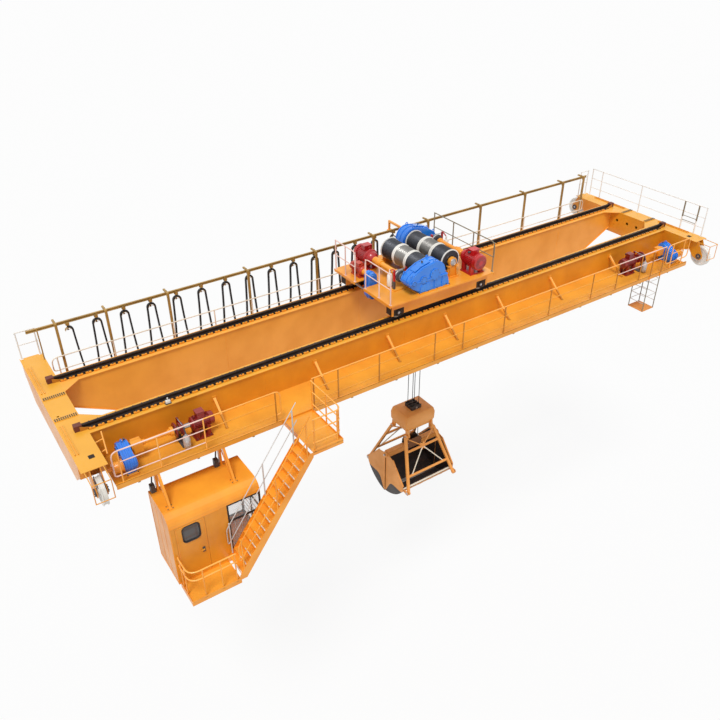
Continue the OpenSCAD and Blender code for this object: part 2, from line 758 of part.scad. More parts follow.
module holding_drum() { translate([trolley_x - drum_off, 0, drum_z]) rope_drum(); }
module closing_drum() {
    translate([trolley_x + drum_off, 0, drum_z]) rotate([0, 0, 180]) rope_drum();
}

// Vertical gearbox on the left axle, with its motor on the deck
module trolley_drive() {
    x = axle_x[0];
    color("royalblue") difference() {
        union() {
            along_y(x, -60, 250, axle_z, 165);
            block([x - 150, -60, axle_z], [x + 150, 250, 920]);
            along_y(x, -60, 250, 920, 150);
        }
        along_y(x, -200, 400, axle_z, 50 + shaft_gap);
    }
    color("firebrick") union() {
        along_y(x, 250, 420, 920, 80);
        along_y(x, 420, 1100, 920, 150);
        block([x - 120, 480, deck_z], [x + 120, 1000, 850]);
    }
}

module trolley_axle(x) {
    color(steel) translate([x, 0, axle_z]) rotate([90, 0, 0]) union() {
        cylinder(h = 2 * sill_y[1] + 40, r = 50, center = true);
        for (s = [-1, 1]) translate([0, 0, s * half]) {
            cylinder(h = 96, r = trolley_wheel_r, center = true);
            for (f = [-1, 1])
                translate([0, 0, f * 58]) cylinder(h = 24, r = trolley_wheel_r + 22, center = true);
            cylinder(h = 240, r = 85, center = true);
        }
    }
}

module trolley_handrails() {
    color("lightyellow") {
        railing_y(deck_x[0] + 40, -1500, -160, deck_z, [-1480, -900, -180], [500, 1000]);
        railing_y(deck_x[0] + 40, 380, 1520, deck_z, [400, 940, 1500], [500, 1000]);
        railing_y(deck_x[1] - 40, -1500, 1520, deck_z, [-1480, -500, 500, 1500], [500, 1000]);
    }
}

// ---- Grab ----

module at_grab() { translate([grab_x, 0, 0]) children(); }

// Ropes from the drums down to the head
module hoist_ropes() {
    color("dimgray") at_grab() for (x = [-rope_x, rope_x], y = [-130, 130])
        translate([x, y, head_z + 140]) cylinder(h = drum_z - head_z - 140, r = rope_r, $fn = 8);
}

// The head frame, with a dark sheave block on its top and ears for the arms
module grab_head() {
    color(crane_yellow) at_grab() difference() {
        union() {
            block([-560, -400, head_z - 700], [560, 400, head_z]);
            for (s = [-1, 1], x = [-560, 500])
                block([x, s > 0 ? 300 : -520, arm_top[2] - 90], [x + 60, s > 0 ? 520 : -300, head_z - 300]);
        }
        block([-500, -340, head_z - 800], [500, 340, head_z - 120]);
        for (s = [-1, 1])
            along_x(-700, 700, s * arm_top[1], arm_top[2], pin_r + shaft_gap);
    }
    color(dark) at_grab() block([-300, -220, head_z], [300, 220, head_z + 140]);
}

// The lower block: a beam that carries both shells on its end pins
module grab_block() {
    color(dark) at_grab() union() {
        block([-shell_l / 2 + 60, -110, hinge_z - 110], [shell_l / 2 - 60, 110, hinge_z + 110]);
        block([-330, -170, hinge_z - 60], [330, 170, hinge_z + 330]);
        along_x(-shell_l / 2 - 60, shell_l / 2 + 60, 0, hinge_z, pin_r);
    }
}

module closing_ropes() {
    color("dimgray") at_grab() for (x = [-200, 200], y = [-90, 90])
        translate([x, y, hinge_z + 330]) cylinder(h = head_z - 121 - hinge_z - 330, r = rope_r, $fn = 8);
}

// Points on an arc about a shell's centre, in Y and Z from the hinge
function shell_arc(r, steps = 8, a0 = -81.5, a1 = -29) =
    [for (i = [0:steps]) let (a = a0 + (a1 - a0) * i / steps) shell_c + r * [cos(a), sin(a)]];

// Outline of a shell's side plate, on the +Y side, from the hinge
function shell_side() = concat([[4, -80], [4, -1700]], shell_arc(shell_r),
                               [[1080, -800], [420, -10], [120, 60]]);

// One shell on the +Y side. wide puts its eyes outside those of the other shell
module grab_shell(wide) {
    xo = shell_l / 2 - (wide ? 0 : 35);
    rim = shell_c + (shell_r - 60) * [cos(-29), sin(-29)];
    at_grab() translate([0, 0, hinge_z]) difference() {
        union() {
            // side plates with a round eye at the hinge
            for (x = [-xo, xo - plate_t]) {
                plate_yz(x, x + plate_t, shell_side());
                along_x(x, x + plate_t, 0, 0, 120);
            }
            // curved bottom between the side plates
            plate_yz(-xo, xo, concat(shell_arc(shell_r),
                                     [for (p = [8:-1:0]) shell_arc(shell_r - shell_t)[p]]));
            // lip along the meeting edge
            plate_yz(-xo, xo, [[4, -1690], [4, -1752], [60, -1740], [90, -1690]]);
            // stiff tube along the outer rim
            along_x(-xo, xo, rim[0], rim[1], 35, 16);
            // ears for the arms' lower pins
            for (s = [-1, 1])
                plate_yz(s > 0 ? arm_low[0] + 60 : -arm_low[0] - 90, s > 0 ? arm_low[0] + 90 : -arm_low[0] - 60,
                         [rim + [-20, 0], rim + [40, 30], [1300, -950], [1330, -1020], [1300, -1090],
                          [1230, -1100], [1010, -1060]]);
        }
        along_x(-2000, 2000, 0, 0, pin_r + shaft_gap);
    }
}

// One arm on the +Y side: two flared bars, cross bars with a brace, and pins at the top
function arm_point(t, s) =
    [s * (arm_top[0] + t * (arm_low[0] - arm_top[0])), arm_top[1] + t * (arm_low[1] - arm_top[1]),
     arm_top[2] + t * (arm_low[2] - arm_top[2])];

module grab_arm() {
    color(crane_yellow) at_grab() {
        union() {
            for (s = [-1, 1]) {
                rod([s * (arm_top[0] + 10), arm_top[1], arm_top[2]],
                    [s * arm_low[0], arm_low[1] - 5, arm_low[2]], 40, 12);
                along_x(s > 0 ? arm_top[0] - 30 : -arm_top[0] - 30, s > 0 ? arm_top[0] + 30 : -arm_top[0] + 30,
                        arm_top[1], arm_top[2], 85);
                along_x(s > 0 ? arm_low[0] - 30 : -arm_low[0] - 30, s > 0 ? arm_low[0] + 30 : -arm_low[0] + 30,
                        arm_low[1], arm_low[2], 85);
                along_x(s > 0 ? 480 : -640, s > 0 ? 640 : -480, arm_top[1], arm_top[2], pin_r);
            }
            for (t = [0.28, 0.72])
                let (p = arm_point(t, 1))
                    along_x(-p[0], p[0], p[1], p[2], 40, 12);
            // brace from the middle of the upper cross bar to the lower one's ends
            for (s = [-1, 1])
                rod(arm_point(0.28, 0), arm_point(0.72, s * 0.8), 18, 8);
        }
    }
}

module rear_side(side) { if (side > 0) children(); else mirror([0, 1, 0]) children(); }

lift() mirror([0, 1, 0]) girder();  // front_girder
lift() girder();  // rear_girder
lift() { trolley_rail(-half); trolley_rail(half); }  // trolley_rails
lift() end_carriage(1);  // left_end_carriage
lift() translate([span, 0, 0]) end_carriage(-1);  // right_end_carriage
lift() walkways();
lift() walkway_handrails();
lift() end_handrails();
lift() { mid_landing(); cab_landing(); }  // landings
lift() stair();
lift() stair_handrails();
lift() cab_hangers();
lift() cab_floor();
lift() cab_roof();
lift() cab_walls();
lift() cab_glazing();
lift() service_cage();
lift() festoon_track();
lift() festoon_cables();
lift() travel_gearboxes();
lift() travel_motors();
lift() drive_shafts();
lift() cab_door();
lift() door_window();
lift() translate([0, -wheel_y, wheel_z]) carriage_wheel();  // wheel_left_front
lift() translate([0, wheel_y, wheel_z]) carriage_wheel();  // wheel_left_rear
lift() translate([span, -wheel_y, wheel_z]) carriage_wheel();  // wheel_right_front
lift() translate([span, wheel_y, wheel_z]) carriage_wheel();  // wheel_right_rear
lift() trolley_frame();
lift() hoist_gearboxes();
lift() hoist_motors();
lift() hoist_brakes();
lift() trolley_drive();
lift() trolley_handrails();
lift() holding_drum();
lift() closing_drum();
lift() trolley_axle(axle_x[0]);  // trolley_axle_left
lift() trolley_axle(axle_x[1]);  // trolley_axle_right
lift() hoist_ropes();
lift() grab_head();
lift() grab_block();
lift() closing_ropes();
lift() rear_side(-1) color("dimgray") grab_shell(false);  // grab_shell_front
lift() rear_side(1) color("dimgray") grab_shell(true);  // grab_shell_rear
lift() rear_side(-1) grab_arm();  // grab_arm_front
lift() rear_side(1) grab_arm();  // grab_arm_rear
for (i = [1:carrier_n])
    lift() festoon_carrier(carrier_x0 + i * carrier_step);
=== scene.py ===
"""Looks of the grab bridge crane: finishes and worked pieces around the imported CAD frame.

Every piece is drawn in metres with z = 0 on the girder tops, X along the span and +Y to the
festoon side, and is lifted by the carriages' depth when it is fitted.
"""

from __future__ import annotations

import logging
import math
from dataclasses import dataclass, field
from enum import Enum
from typing import Any, Callable, Iterable, Sequence

import bmesh
import bpy
from mathutils import Matrix, Vector

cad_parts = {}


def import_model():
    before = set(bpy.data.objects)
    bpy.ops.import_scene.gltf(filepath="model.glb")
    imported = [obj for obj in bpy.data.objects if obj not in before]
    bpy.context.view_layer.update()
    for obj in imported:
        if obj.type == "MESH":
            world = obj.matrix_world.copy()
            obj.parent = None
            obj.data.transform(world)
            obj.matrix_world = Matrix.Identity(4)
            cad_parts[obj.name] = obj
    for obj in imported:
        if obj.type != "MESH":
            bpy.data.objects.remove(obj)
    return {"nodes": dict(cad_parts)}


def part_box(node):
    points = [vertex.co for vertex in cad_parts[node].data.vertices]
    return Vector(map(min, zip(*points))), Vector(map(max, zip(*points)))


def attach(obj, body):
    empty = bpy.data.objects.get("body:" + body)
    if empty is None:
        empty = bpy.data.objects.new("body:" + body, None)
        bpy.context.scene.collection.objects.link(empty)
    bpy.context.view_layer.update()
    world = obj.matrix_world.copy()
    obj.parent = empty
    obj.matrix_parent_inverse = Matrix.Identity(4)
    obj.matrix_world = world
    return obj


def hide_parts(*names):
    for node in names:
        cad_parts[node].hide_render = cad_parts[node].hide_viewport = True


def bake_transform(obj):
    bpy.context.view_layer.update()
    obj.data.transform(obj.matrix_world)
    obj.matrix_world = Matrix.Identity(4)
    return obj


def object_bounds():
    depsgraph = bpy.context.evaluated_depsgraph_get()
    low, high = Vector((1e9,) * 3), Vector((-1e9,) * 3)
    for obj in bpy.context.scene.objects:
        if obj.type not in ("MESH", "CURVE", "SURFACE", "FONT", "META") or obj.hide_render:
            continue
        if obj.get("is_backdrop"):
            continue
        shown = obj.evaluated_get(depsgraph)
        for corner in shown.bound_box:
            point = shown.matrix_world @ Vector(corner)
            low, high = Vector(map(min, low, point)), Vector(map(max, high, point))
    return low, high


LOG = logging.getLogger("crane")
Pair = tuple[float, float]
Point = Sequence[float]
Outline = Sequence[Point]
Tree = bpy.types.NodeTree
Socket = bpy.types.NodeSocket


class Axis(Enum):
    """The direction that a shape is drawn, turned or extruded along."""

    X = 0
    Y = 1
    Z = 2

    def place(self, along: float, b: float, c: float) -> Vector:
        """Puts a length along this axis and the two cross coordinates, in order, into space.

        Args:
            along: The length along this axis.
            b: The first cross coordinate.
            c: The second cross coordinate.

        Returns:
            The place in space.
        """
        cross = [b, c]
        cross.insert(self.value, along)
        return Vector(cross)


class End(Enum):
    """An end of the bridge, with the sign that points along the span to the other end."""

    LEFT = 1
    RIGHT = -1


class Side(Enum):
    """The front, where the cab hangs, or the rear, where the festoon runs."""

    FRONT = -1
    REAR = 1


# ---- Finishes ----


def linear(code: str) -> tuple[float, float, float, float]:
    """Turns an sRGB hex value into linear colour.

    Args:
        code: The colour as "#rrggbb".

    Returns:
        Red, green, blue and an alpha of 1, as Blender's sockets take them.
    """
    parts = [int(code[i : i + 2], 16) / 255 for i in (1, 3, 5)]
    r, g, b = (p / 12.92 if p <= 0.04045 else ((p + 0.055) / 1.055) ** 2.4 for p in parts)
    return (r, g, b, 1.0)


def add(tree: Tree, kind: str, inputs: dict[Any, Any] | None = None, **settings: Any) -> Any:
    """Adds one node with its settings and links.

    Args:
        tree: The tree that gets the node.
        kind: The node's type.
        inputs: A value or a socket to link, for each input's name or number.
        settings: Values for the node's own properties.

    Returns:
        The new node's outputs.
    """
    node = tree.nodes.new(kind)
    for name, value in settings.items():
        setattr(node, name, value)
    for key, value in (inputs or {}).items():
        if isinstance(value, Socket):
            tree.links.new(value, node.inputs[key])
        else:
            node.inputs[key].default_value = value
    return node.outputs


@dataclass(frozen=True)
class Finish:
    """A surface with its name and colour, which becomes a Blender material once."""

    name: str
    colour: str

    def material(self) -> bpy.types.Material:
        """The finish as a Blender material, made once and then reused.

        Returns:
            The material.
        """
        material = bpy.data.materials.get(self.name)
        if not material:
            material = bpy.data.materials.new(self.name)
            material.use_nodes = True
            tree = material.node_tree
            tree.nodes.clear()
            surface = self.surface(tree, add(tree, "ShaderNodeTexCoord")["Object"])
            add(tree, "ShaderNodeOutputMaterial", {"Surface": surface})
        return material

    def surface(self, tree: Tree, where: Socket) -> Socket:
        """Builds the shader.

        Args:
            tree: The material's tree.
            where: The place on the object.

        Returns:
            The shader's output.
        """
        raise NotImplementedError


@dataclass(frozen=True)
class Metalwork(Finish):
    """What paint and bare metal share: how their surface takes the light.

    The pattern sizes are in millimetres on the object.
    """

    shade: str
    roughness: float = 0.35
    metallic: float = 0.0
    patch_mm: float = 900.0
    grain_mm: float = 6.0
    grain_depth: float = 0.15
    coat: float = 0.0

    def surface(self, tree: Tree, where: Socket) -> Socket:
        """The colour in soft patches, a roughness that follows them, and the relief.

        Args:
            tree: The material's tree.
            where: The place on the object.

        Returns:
            The shader's output.
        """
        patches = self.cloud(tree, where, self.patch_mm, 4.0)
        colours = {"Factor": patches, "A": linear(self.colour), "B": linear(self.shade)}
        tint = add(tree, "ShaderNodeMix", colours, data_type="RGBA")["Result"]
        ends = {0: patches, 3: self.roughness - 0.05, 4: self.roughness + 0.07}
        rough = add(tree, "ShaderNodeMapRange", ends)[0]
        tint, rough, metal = self.dress(tree, where, tint, rough)
        return add(tree, "ShaderNodeBsdfPrincipled", {
            "Base Color": tint, "Roughness": rough, "Metallic": metal, "Coat Weight": self.coat,
            "Normal": self.relief(tree, where), "Coat Roughness": 0.12})["BSDF"]

    def cloud(self, tree: Tree, where: Socket, size_mm: float, detail: float) -> Socket:
        """A soft random pattern from 0 to 1 with patches of the given size.

        Args:
            tree: The material's tree.
            where: The place on the object.
            size_mm: The patches' size in millimetres.
            detail: How fine their edges are broken up.

        Returns:
            The pattern.
        """
        scale = {"Vector": where, "Scale": 1000.0 / size_mm, "Detail": detail}
        noise = add(tree, "ShaderNodeTexNoise", scale)["Fac"]
        return add(tree, "ShaderNodeMapRange", {0: noise, 1: 0.35, 2: 0.65})[0]

    def dress(self, tree: Tree, where: Socket, tint: Socket, rough: Socket
              ) -> tuple[Socket, Socket, Any]:
        """What this kind of surface adds.

        Args:
            tree: The material's tree.
            where: The place on the object.
            tint: The colour so far.
            rough: The roughness so far.

        Returns:
            The colour, the roughness and the metal share.
        """
        return tint, rough, self.metallic

    def relief(self, tree: Tree, where: Socket) -> Socket:
        """The surface's fine relief as a normal.

        Args:
            tree: The material's tree.
            where: The place on the object.

        Returns:
            The normal.
        """
        grain = self.cloud(tree, where, self.grain_mm, 1.0)
        return add(tree, "ShaderNodeBump", {"Height": grain, "Strength": self.grain_depth,
                                            "Distance": 0.002})["Normal"]


@dataclass(frozen=True)
class SprayedEnamel(Metalwork):
    """Alkyd enamel sprayed on welded plate: an even coat with a faint orange peel.

    A lighter colour lies on what faces up, as dust and as painted top light, and faint runs mark what
    stands upright.
    """

    # a lighter colour on what faces up: dust, and painted top light
    dust_and_top_light: str = "#d9b58a"
    dust_and_top_light_share: float = 0.10
    run_share: float = 0.16

    def dress(self, tree: Tree, where: Socket, tint: Socket, rough: Socket
              ) -> tuple[Socket, Socket, Any]:
        """Dust and painted top light on the upward faces, and darker runs down the upright ones.

        Args:
            tree: The material's tree.
            where: The place on the object.
            tint: The colour so far.
            rough: The roughness so far.

        Returns:
            The colour, the roughness and the metal share.
        """
        up = self.upward(tree)
        # the upward faces take the lighter colour: dust, and painted top light
        upward_dust_and_light = add(tree, "ShaderNodeMapRange", {0: up, 1: 0.6, 2: 0.95, 4: self.dust_and_top_light_share})[0]
        streaks = add(tree, "ShaderNodeMapping", {"Vector": where, "Scale": (9.0, 9.0, 0.5)},
                      vector_type="POINT")[0]
        runs = add(tree, "ShaderNodeTexNoise", {"Vector": streaks, "Scale": 1.0, "Detail": 3.0})["Fac"]
        runs = add(tree, "ShaderNodeMapRange", {0: runs, 1: 0.5, 2: 0.75, 4: self.run_share})[0]
        upright = add(tree, "ShaderNodeMapRange", {0: up, 1: 0.5, 2: 0.2})[0]
        runs = add(tree, "ShaderNodeMath", {0: runs, 1: upright}, operation="MULTIPLY")[0]
        for share, colour in ((upward_dust_and_light, self.dust_and_top_light), (runs, self.shade)):
            tint = add(tree, "ShaderNodeMix", {"Factor": share, "A": tint, "B": linear(colour)},
                       data_type="RGBA")["Result"]
        return tint, rough, self.metallic

    def upward(self, tree: Tree) -> Socket:
        """How far a face looks up, from -1 to 1."""
        normal = add(tree, "ShaderNodeNewGeometry")["Normal"]
        return add(tree, "ShaderNodeSeparateXYZ", {0: normal})["Z"]


@dataclass(frozen=True)
class CastingEnamel(SprayedEnamel):
    """Gloss enamel on cast iron: the casting's coarser skin shows under the coat."""

    grain_mm: float = 14.0
    grain_depth: float = 0.22
    coat: float = 0.45


@dataclass(frozen=True)
class TreadPlateEnamel(SprayedEnamel):
    """The same enamel on tread plate: raised lozenges on what faces up.

    Real lozenges are 25 mm long. They are drawn 90 mm long so that they show.
    """

    lozenge_mm: float = 90.0

    def relief(self, tree: Tree, where: Socket) -> Socket:
        """Crossed rows of lozenges on the upward faces, over the paint's own grain.

        Args:
            tree: The material's tree.
            where: The place on the object.

        Returns:
            The normal.
        """
        flat = add(tree, "ShaderNodeMapping", {
            "Vector": where, "Rotation": (0.0, 0.0, math.radians(45)), "Scale": (1.0, 1.0, 0.0)})[0]
        cells = {"Vector": flat, "Scale": 1000.0 / self.lozenge_mm, "Randomness": 0.0}
        height = add(tree, "ShaderNodeTexVoronoi", cells, voronoi_dimensions="2D",
                     distance="CHEBYCHEV")["Distance"]
        raised = add(tree, "ShaderNodeMapRange", {0: height, 1: 0.32, 2: 0.22})[0]
        mask = add(tree, "ShaderNodeMapRange", {0: self.upward(tree), 1: 0.8, 2: 0.95})[0]
        raised = add(tree, "ShaderNodeMath", {0: raised, 1: mask}, operation="MULTIPLY")[0]
        return add(tree, "ShaderNodeBump", {
            "Height": raised, "Strength": 0.35, "Distance": 0.003,
            "Normal": super().relief(tree, where)})["Normal"]


@dataclass(frozen=True)
class WornPlate(Metalwork):
    """Bare or thinly painted steel that has been in use: rust blooms and rubbed metal."""

    rust: str = "#6b3f24"
    rust_share: float = 0.35
    rust_mm: float = 220.0

    def dress(self, tree: Tree, where: Socket, tint: Socket, rough: Socket
              ) -> tuple[Socket, Socket, Any]:
        """Rust in blooms, which are rough and no metal.

        Args:
            tree: The material's tree.
            where: The place on the object.
            tint: The colour so far.
            rough: The roughness so far.

        Returns:
            The colour, the roughness and the metal share.
        """
        patches = {"Vector": where, "Scale": 1000.0 / self.rust_mm, "Detail": 6.0, "Roughness": 0.65}
        bloom = add(tree, "ShaderNodeTexNoise", patches)["Fac"]
        bloom = add(tree, "ShaderNodeMapRange", {0: bloom, 1: 0.52, 2: 0.68, 4: self.rust_share})[0]
        rusty = add(tree, "ShaderNodeMix", {"Factor": bloom, "A": tint, "B": linear(self.rust)},
                    data_type="RGBA")["Result"]
        rough = add(tree, "ShaderNodeMath", {0: bloom, 1: 0.5, 2: rough},
                    operation="MULTIPLY_ADD")[0]
        metal = add(tree, "ShaderNodeMapRange", {0: bloom, 3: self.metallic, 4: 0.0})[0]
        return rusty, rough, metal


@dataclass(frozen=True)
class TurnedSteel(Metalwork):
    """Machined steel: fine rings of the tool round the axis, a clean bright metal."""

    axis: Axis = Axis.Y
    pitch_mm: float = 12.0

    def relief(self, tree: Tree, where: Socket) -> Socket:
        """Tool marks, drawn coarser than the real 0.3 mm so that they show.

        Args:
            tree: The material's tree.
            where: The place on the object.

        Returns:
            The normal.
        """
        bands = {"Vector": where, "Scale": 1000.0 / self.pitch_mm / 6.3, "Distortion": 0.4}
        rings = add(tree, "ShaderNodeTexWave", bands, bands_direction=self.axis.name)["Fac"]
        return add(tree, "ShaderNodeBump", {"Height": rings, "Strength": self.grain_depth,
                                            "Distance": 0.001})["Normal"]


@dataclass(frozen=True)
class StrandedRope(Metalwork):
    """Greased wire rope: strands laid in a long spiral with dark gaps between them."""

    lay_mm: float = 90.0

    def relief(self, tree: Tree, where: Socket) -> Socket:
        """Slanting bands for the strands. The lay is long enough to show.

        Args:
            tree: The material's tree.
            where: The place on the object.

        Returns:
            The normal.
        """
        slant = add(tree, "ShaderNodeMapping", {"Vector": where, "Rotation": (0.5, 0.5, 0.0)})[0]
        bands = add(tree, "ShaderNodeTexWave", {"Vector": slant, "Scale": 2000.0 / self.lay_mm / 6.3},
                    bands_direction="Z")["Fac"]
        return add(tree, "ShaderNodeBump", {"Height": bands, "Strength": 0.8,
                                            "Distance": 0.004})["Normal"]


@dataclass(frozen=True)
class ToughenedGlass(Finish):
    """Toughened glass with a faint grey tint: clear face on and bright at a low angle."""

    clearness: float = 0.75

    def surface(self, tree: Tree, where: Socket) -> Socket:
        """The glass as a thin clear sheet, which bakes and renders alike.

        Args:
            tree: The material's tree.
            where: The place on the object.

        Returns:
            The shader's output.
        """
        film = add(tree, "ShaderNodeTexNoise", {"Vector": where, "Scale": 2.5, "Detail": 3.0})["Fac"]
        rough = add(tree, "ShaderNodeMapRange", {0: film, 3: 0.02, 4: 0.16})[0]
        return add(tree, "ShaderNodeBsdfPrincipled", {
            "Base Color": linear(self.colour), "Roughness": rough, "IOR": 1.5,
            "Alpha": 1.0 - self.clearness})["BSDF"]


class Stock:
    """The crane's finishes, each named for what the real one is."""

    # welded plate sprayed with orange-yellow enamel: even, half gloss, with dust and painted top light on
    # what faces up
    yellow = SprayedEnamel("sprayed_enamel_yellow", "#f4a026", "#e58c19", 0.38, coat=0.25,
                           dust_and_top_light="#f0bd5c", dust_and_top_light_share=0.14)
    # the same enamel on the tread plate of walkways and landings
    tread = TreadPlateEnamel("tread_plate_enamel", "#ea9d2a", "#dc8d1e", 0.42, coat=0.15,
                             dust_and_top_light="#f0bd5c", dust_and_top_light_share=0.14)
    # a darker copy of the enamel, which paints the shade on the end carriages, the front girder and the
    # cab's walls, with yellow dust and painted top light on their tops
    deep = SprayedEnamel("sprayed_enamel_deep", "#e49521", "#d48518", 0.4, coat=0.2, dust_and_top_light="#edb640",
                         dust_and_top_light_share=0.55)
    # the grab's enamel is duller and dustier
    dusty = SprayedEnamel("sprayed_enamel_dusty", "#e59b4c", "#d1883b", 0.52, dust_and_top_light="#dcaa70",
                          dust_and_top_light_share=0.2)
    # its head and arms keep a brighter tan
    tan = SprayedEnamel("sprayed_enamel_tan", "#eda24f", "#df933f", 0.48, dust_and_top_light="#e6b070",
                        dust_and_top_light_share=0.25)
    # brown plates and sheaves on the grab's lower block
    brown = SprayedEnamel("sprayed_enamel_brown", "#8a5629", "#69401f", 0.55, dust_and_top_light="#a87a4a")
    # the rear girder in a lighter copy of the yellow enamel, which paints the light on it
    lit_yellow = SprayedEnamel("sprayed_enamel_warm", "#f8a83b", "#ec9b31", 0.42, dust_and_top_light="#f2b95c",
                         dust_and_top_light_share=0.25)
    # handrail posts stand in their own shade
    post = SprayedEnamel("sprayed_enamel_post", "#c58024", "#a96a1b", 0.4, dust_and_top_light="#d8a45a")
    # handrail tube in a paler enamel, which paints the light on the round bar
    rail_front = SprayedEnamel("sprayed_enamel_rail", "#fab04c", "#f1a03a", 0.34, coat=0.3,
                               dust_and_top_light="#f3c877")
    # handrails of the ends and the rear, in off-white
    rail_pale = SprayedEnamel("sprayed_enamel_pale", "#efe6d4", "#d8cdb8", 0.4, dust_and_top_light="#c9c0ae")
    # the trolley's handrails: thin pinkish white at the left, plain grey at the right; the pinkish white
    # also paints the highlight on parts of the front handrail
    rail_pink = SprayedEnamel("enamel_pinkish_white", "#f2d3c8", "#dfb7aa", 0.4, dust_and_top_light="#d9c4ba")
    rail_grey = SprayedEnamel("enamel_light_grey", "#cfccc8", "#b9b6b1", 0.4, dust_and_top_light="#d6d2ca")
    rail_faint = SprayedEnamel("enamel_white_grey", "#f0eeea", "#e3e0da", 0.4, dust_and_top_light="#dedad2")
    rail_dark = SprayedEnamel("enamel_brown_grey", "#8d8068", "#746a55", 0.42, dust_and_top_light="#a89b80")
    # cast gear cases in gloss blue: small casting texture under the coat
    blue = CastingEnamel("gloss_enamel_blue", "#2583e6", "#1c6ed2", 0.3, dust_and_top_light="#4f97e0")
    # ribbed motor castings in gloss red
    red = CastingEnamel("gloss_enamel_red", "#c4171b", "#9c1014", 0.32, dust_and_top_light="#cc4a48", dust_and_top_light_share=0.05)
    # the travel motors in an older, darker red
    maroon = CastingEnamel("gloss_enamel_maroon", "#8c1914", "#6b100d", 0.38, coat=0.3, dust_and_top_light="#97443c",
                           dust_and_top_light_share=0.05)
    # the trolley's travel motor in a lighter, more orange red
    scarlet = CastingEnamel("gloss_enamel_scarlet", "#d8401f", "#b02c14", 0.32, grain_depth=0.2,
                            dust_and_top_light="#d98a6a", dust_and_top_light_share=0.06)
    # brakes, bearings and brackets in dark grey enamel
    grey = SprayedEnamel("enamel_dark_grey", "#4a4a50", "#36363b", 0.45, dust_and_top_light="#8a8782", grain_mm=10.0)
    # aluminium-painted thruster cans and panels
    silver = SprayedEnamel("aluminium_paint", "#c9c7c6", "#b3b0ae", 0.35, metallic=0.35, dust_and_top_light="#dcd8d0",
                           grain_mm=8.0)
    # rolled crane rail: dark mill scale, a little brown
    rail = WornPlate("rolled_rail_steel", "#33251d", "#241a15", 0.55, metallic=0.4, rust="#3d261a",
                     rust_share=0.5)
    # grooved drum shell: greasy dark cast steel
    drum_dark = WornPlate("greased_cast_steel", "#43454b", "#303238", 0.42, metallic=0.55,
                          rust="#3a3330", rust_share=0.25)
    # the drum's turned middle: bright grey metal with tool marks
    drum_mid = TurnedSteel("turned_drum_steel", "#8e8c88", "#74726f", 0.36, metallic=0.75,
                           grain_depth=0.25)
    # rings and bosses painted white
    white = SprayedEnamel("enamel_white", "#eceae4", "#d6d3cb", 0.4, dust_and_top_light="#bfb9ad")
    # wheels, pins and shafts: machined steel
    bright = TurnedSteel("machined_steel", "#b9bbbe", "#9a9ca0", 0.32, metallic=0.85, axis=Axis.X,
                         grain_depth=0.12)
    # wire rope in grease
    rope = StrandedRope("greased_wire_rope", "#3c3a38", "#2a2927", 0.45, metallic=0.5, patch_mm=60.0)
    # festoon track and posts: olive beige enamel
    olive = SprayedEnamel("enamel_olive_beige", "#b08a45", "#8f6e33", 0.48, dust_and_top_light="#c4a66a")
    # flat cable in black chloroprene rubber: nearly matt, dusty
    rubber = SprayedEnamel("chloroprene_rubber", "#17171a", "#0d0d0f", 0.55, grain_mm=5.0,
                           dust_and_top_light="#3a3836", run_share=0.0, dust_and_top_light_share=0.2)
    # grab shells: dark plate, rubbed and rusted
    shell = WornPlate("worn_dark_plate", "#2b201d", "#1f1715", 0.6, metallic=0.2, rust="#43281c",
                      rust_share=0.4)
    # the grab's lower block and corner pads: dark grey-brown plate, worn
    block = WornPlate("worn_grey_plate", "#453e3b", "#332e2c", 0.5, metallic=0.3, rust="#5b3a28",
                      rust_share=0.3)
    # cutting edges ground bright by the bulk material
    edge = WornPlate("ground_edge_steel", "#9c9894", "#7d7975", 0.4, metallic=0.7, rust="#6e5746",
                     rust_share=0.35, rust_mm=120.0)
    # extruded rubber and black frames of the windows
    frame = SprayedEnamel("black_window_frame", "#1d1a1b", "#121011", 0.5, grain_mm=4.0, dust_and_top_light="#4a4541")
    # the cab's glass
    glass = ToughenedGlass("toughened_glass", "#dfe6e8", 0.86)
    # the small door window in dark grey, nearly opaque glass, which paints the shade of the cab behind it
    shade_glass = ToughenedGlass("smoked_glass", "#54504f", 0.05)
    # rail stops in primer red
    primer = SprayedEnamel("primer_red", "#74382a", "#552619", 0.6, dust_and_top_light="#9a6a58", grain_mm=8.0)


# ---- Drawing and fitting pieces ----


def rounded(path: Sequence[Point], radius: float, steps: int = 5) -> list[Vector]:
    """Rounds the corners of a path.

    Args:
        path: The corner points.
        radius: How far from each corner the bend starts.
        steps: The points on each bend.

    Returns:
        The points of the smooth path.
    """
    points = [Vector(p) for p in path]
    out = [points[0]]
    for before, corner, after in zip(points, points[1:], points[2:]):
        reach = min(radius, (before - corner).length / 2.05, (after - corner).length / 2.05)
        start = corner + (before - corner).normalized() * reach
        end = corner + (after - corner).normalized() * reach
        for t in (i / steps for i in range(steps + 1)):
            out.append(start * (1 - t) ** 2 + corner * 2 * t * (1 - t) + end * t * t)
    return out + [points[-1]]


def around(centre: Point, axis: Axis, radius: float, count: int, start: float = 0.0) -> list[Vector]:
    """Points at even steps round a circle.

    Args:
        centre: The circle's middle.
        axis: The direction that it is seen along.
        radius: Its radius.
        count: How many points it has.
        start: The angle of the first one, in radians.

    Returns:
        The points.
    """
    turns = (start + 2 * math.pi * k / count for k in range(count))
    return [Vector(centre) + axis.place(0, radius * math.cos(t), radius * math.sin(t))
            for t in turns]


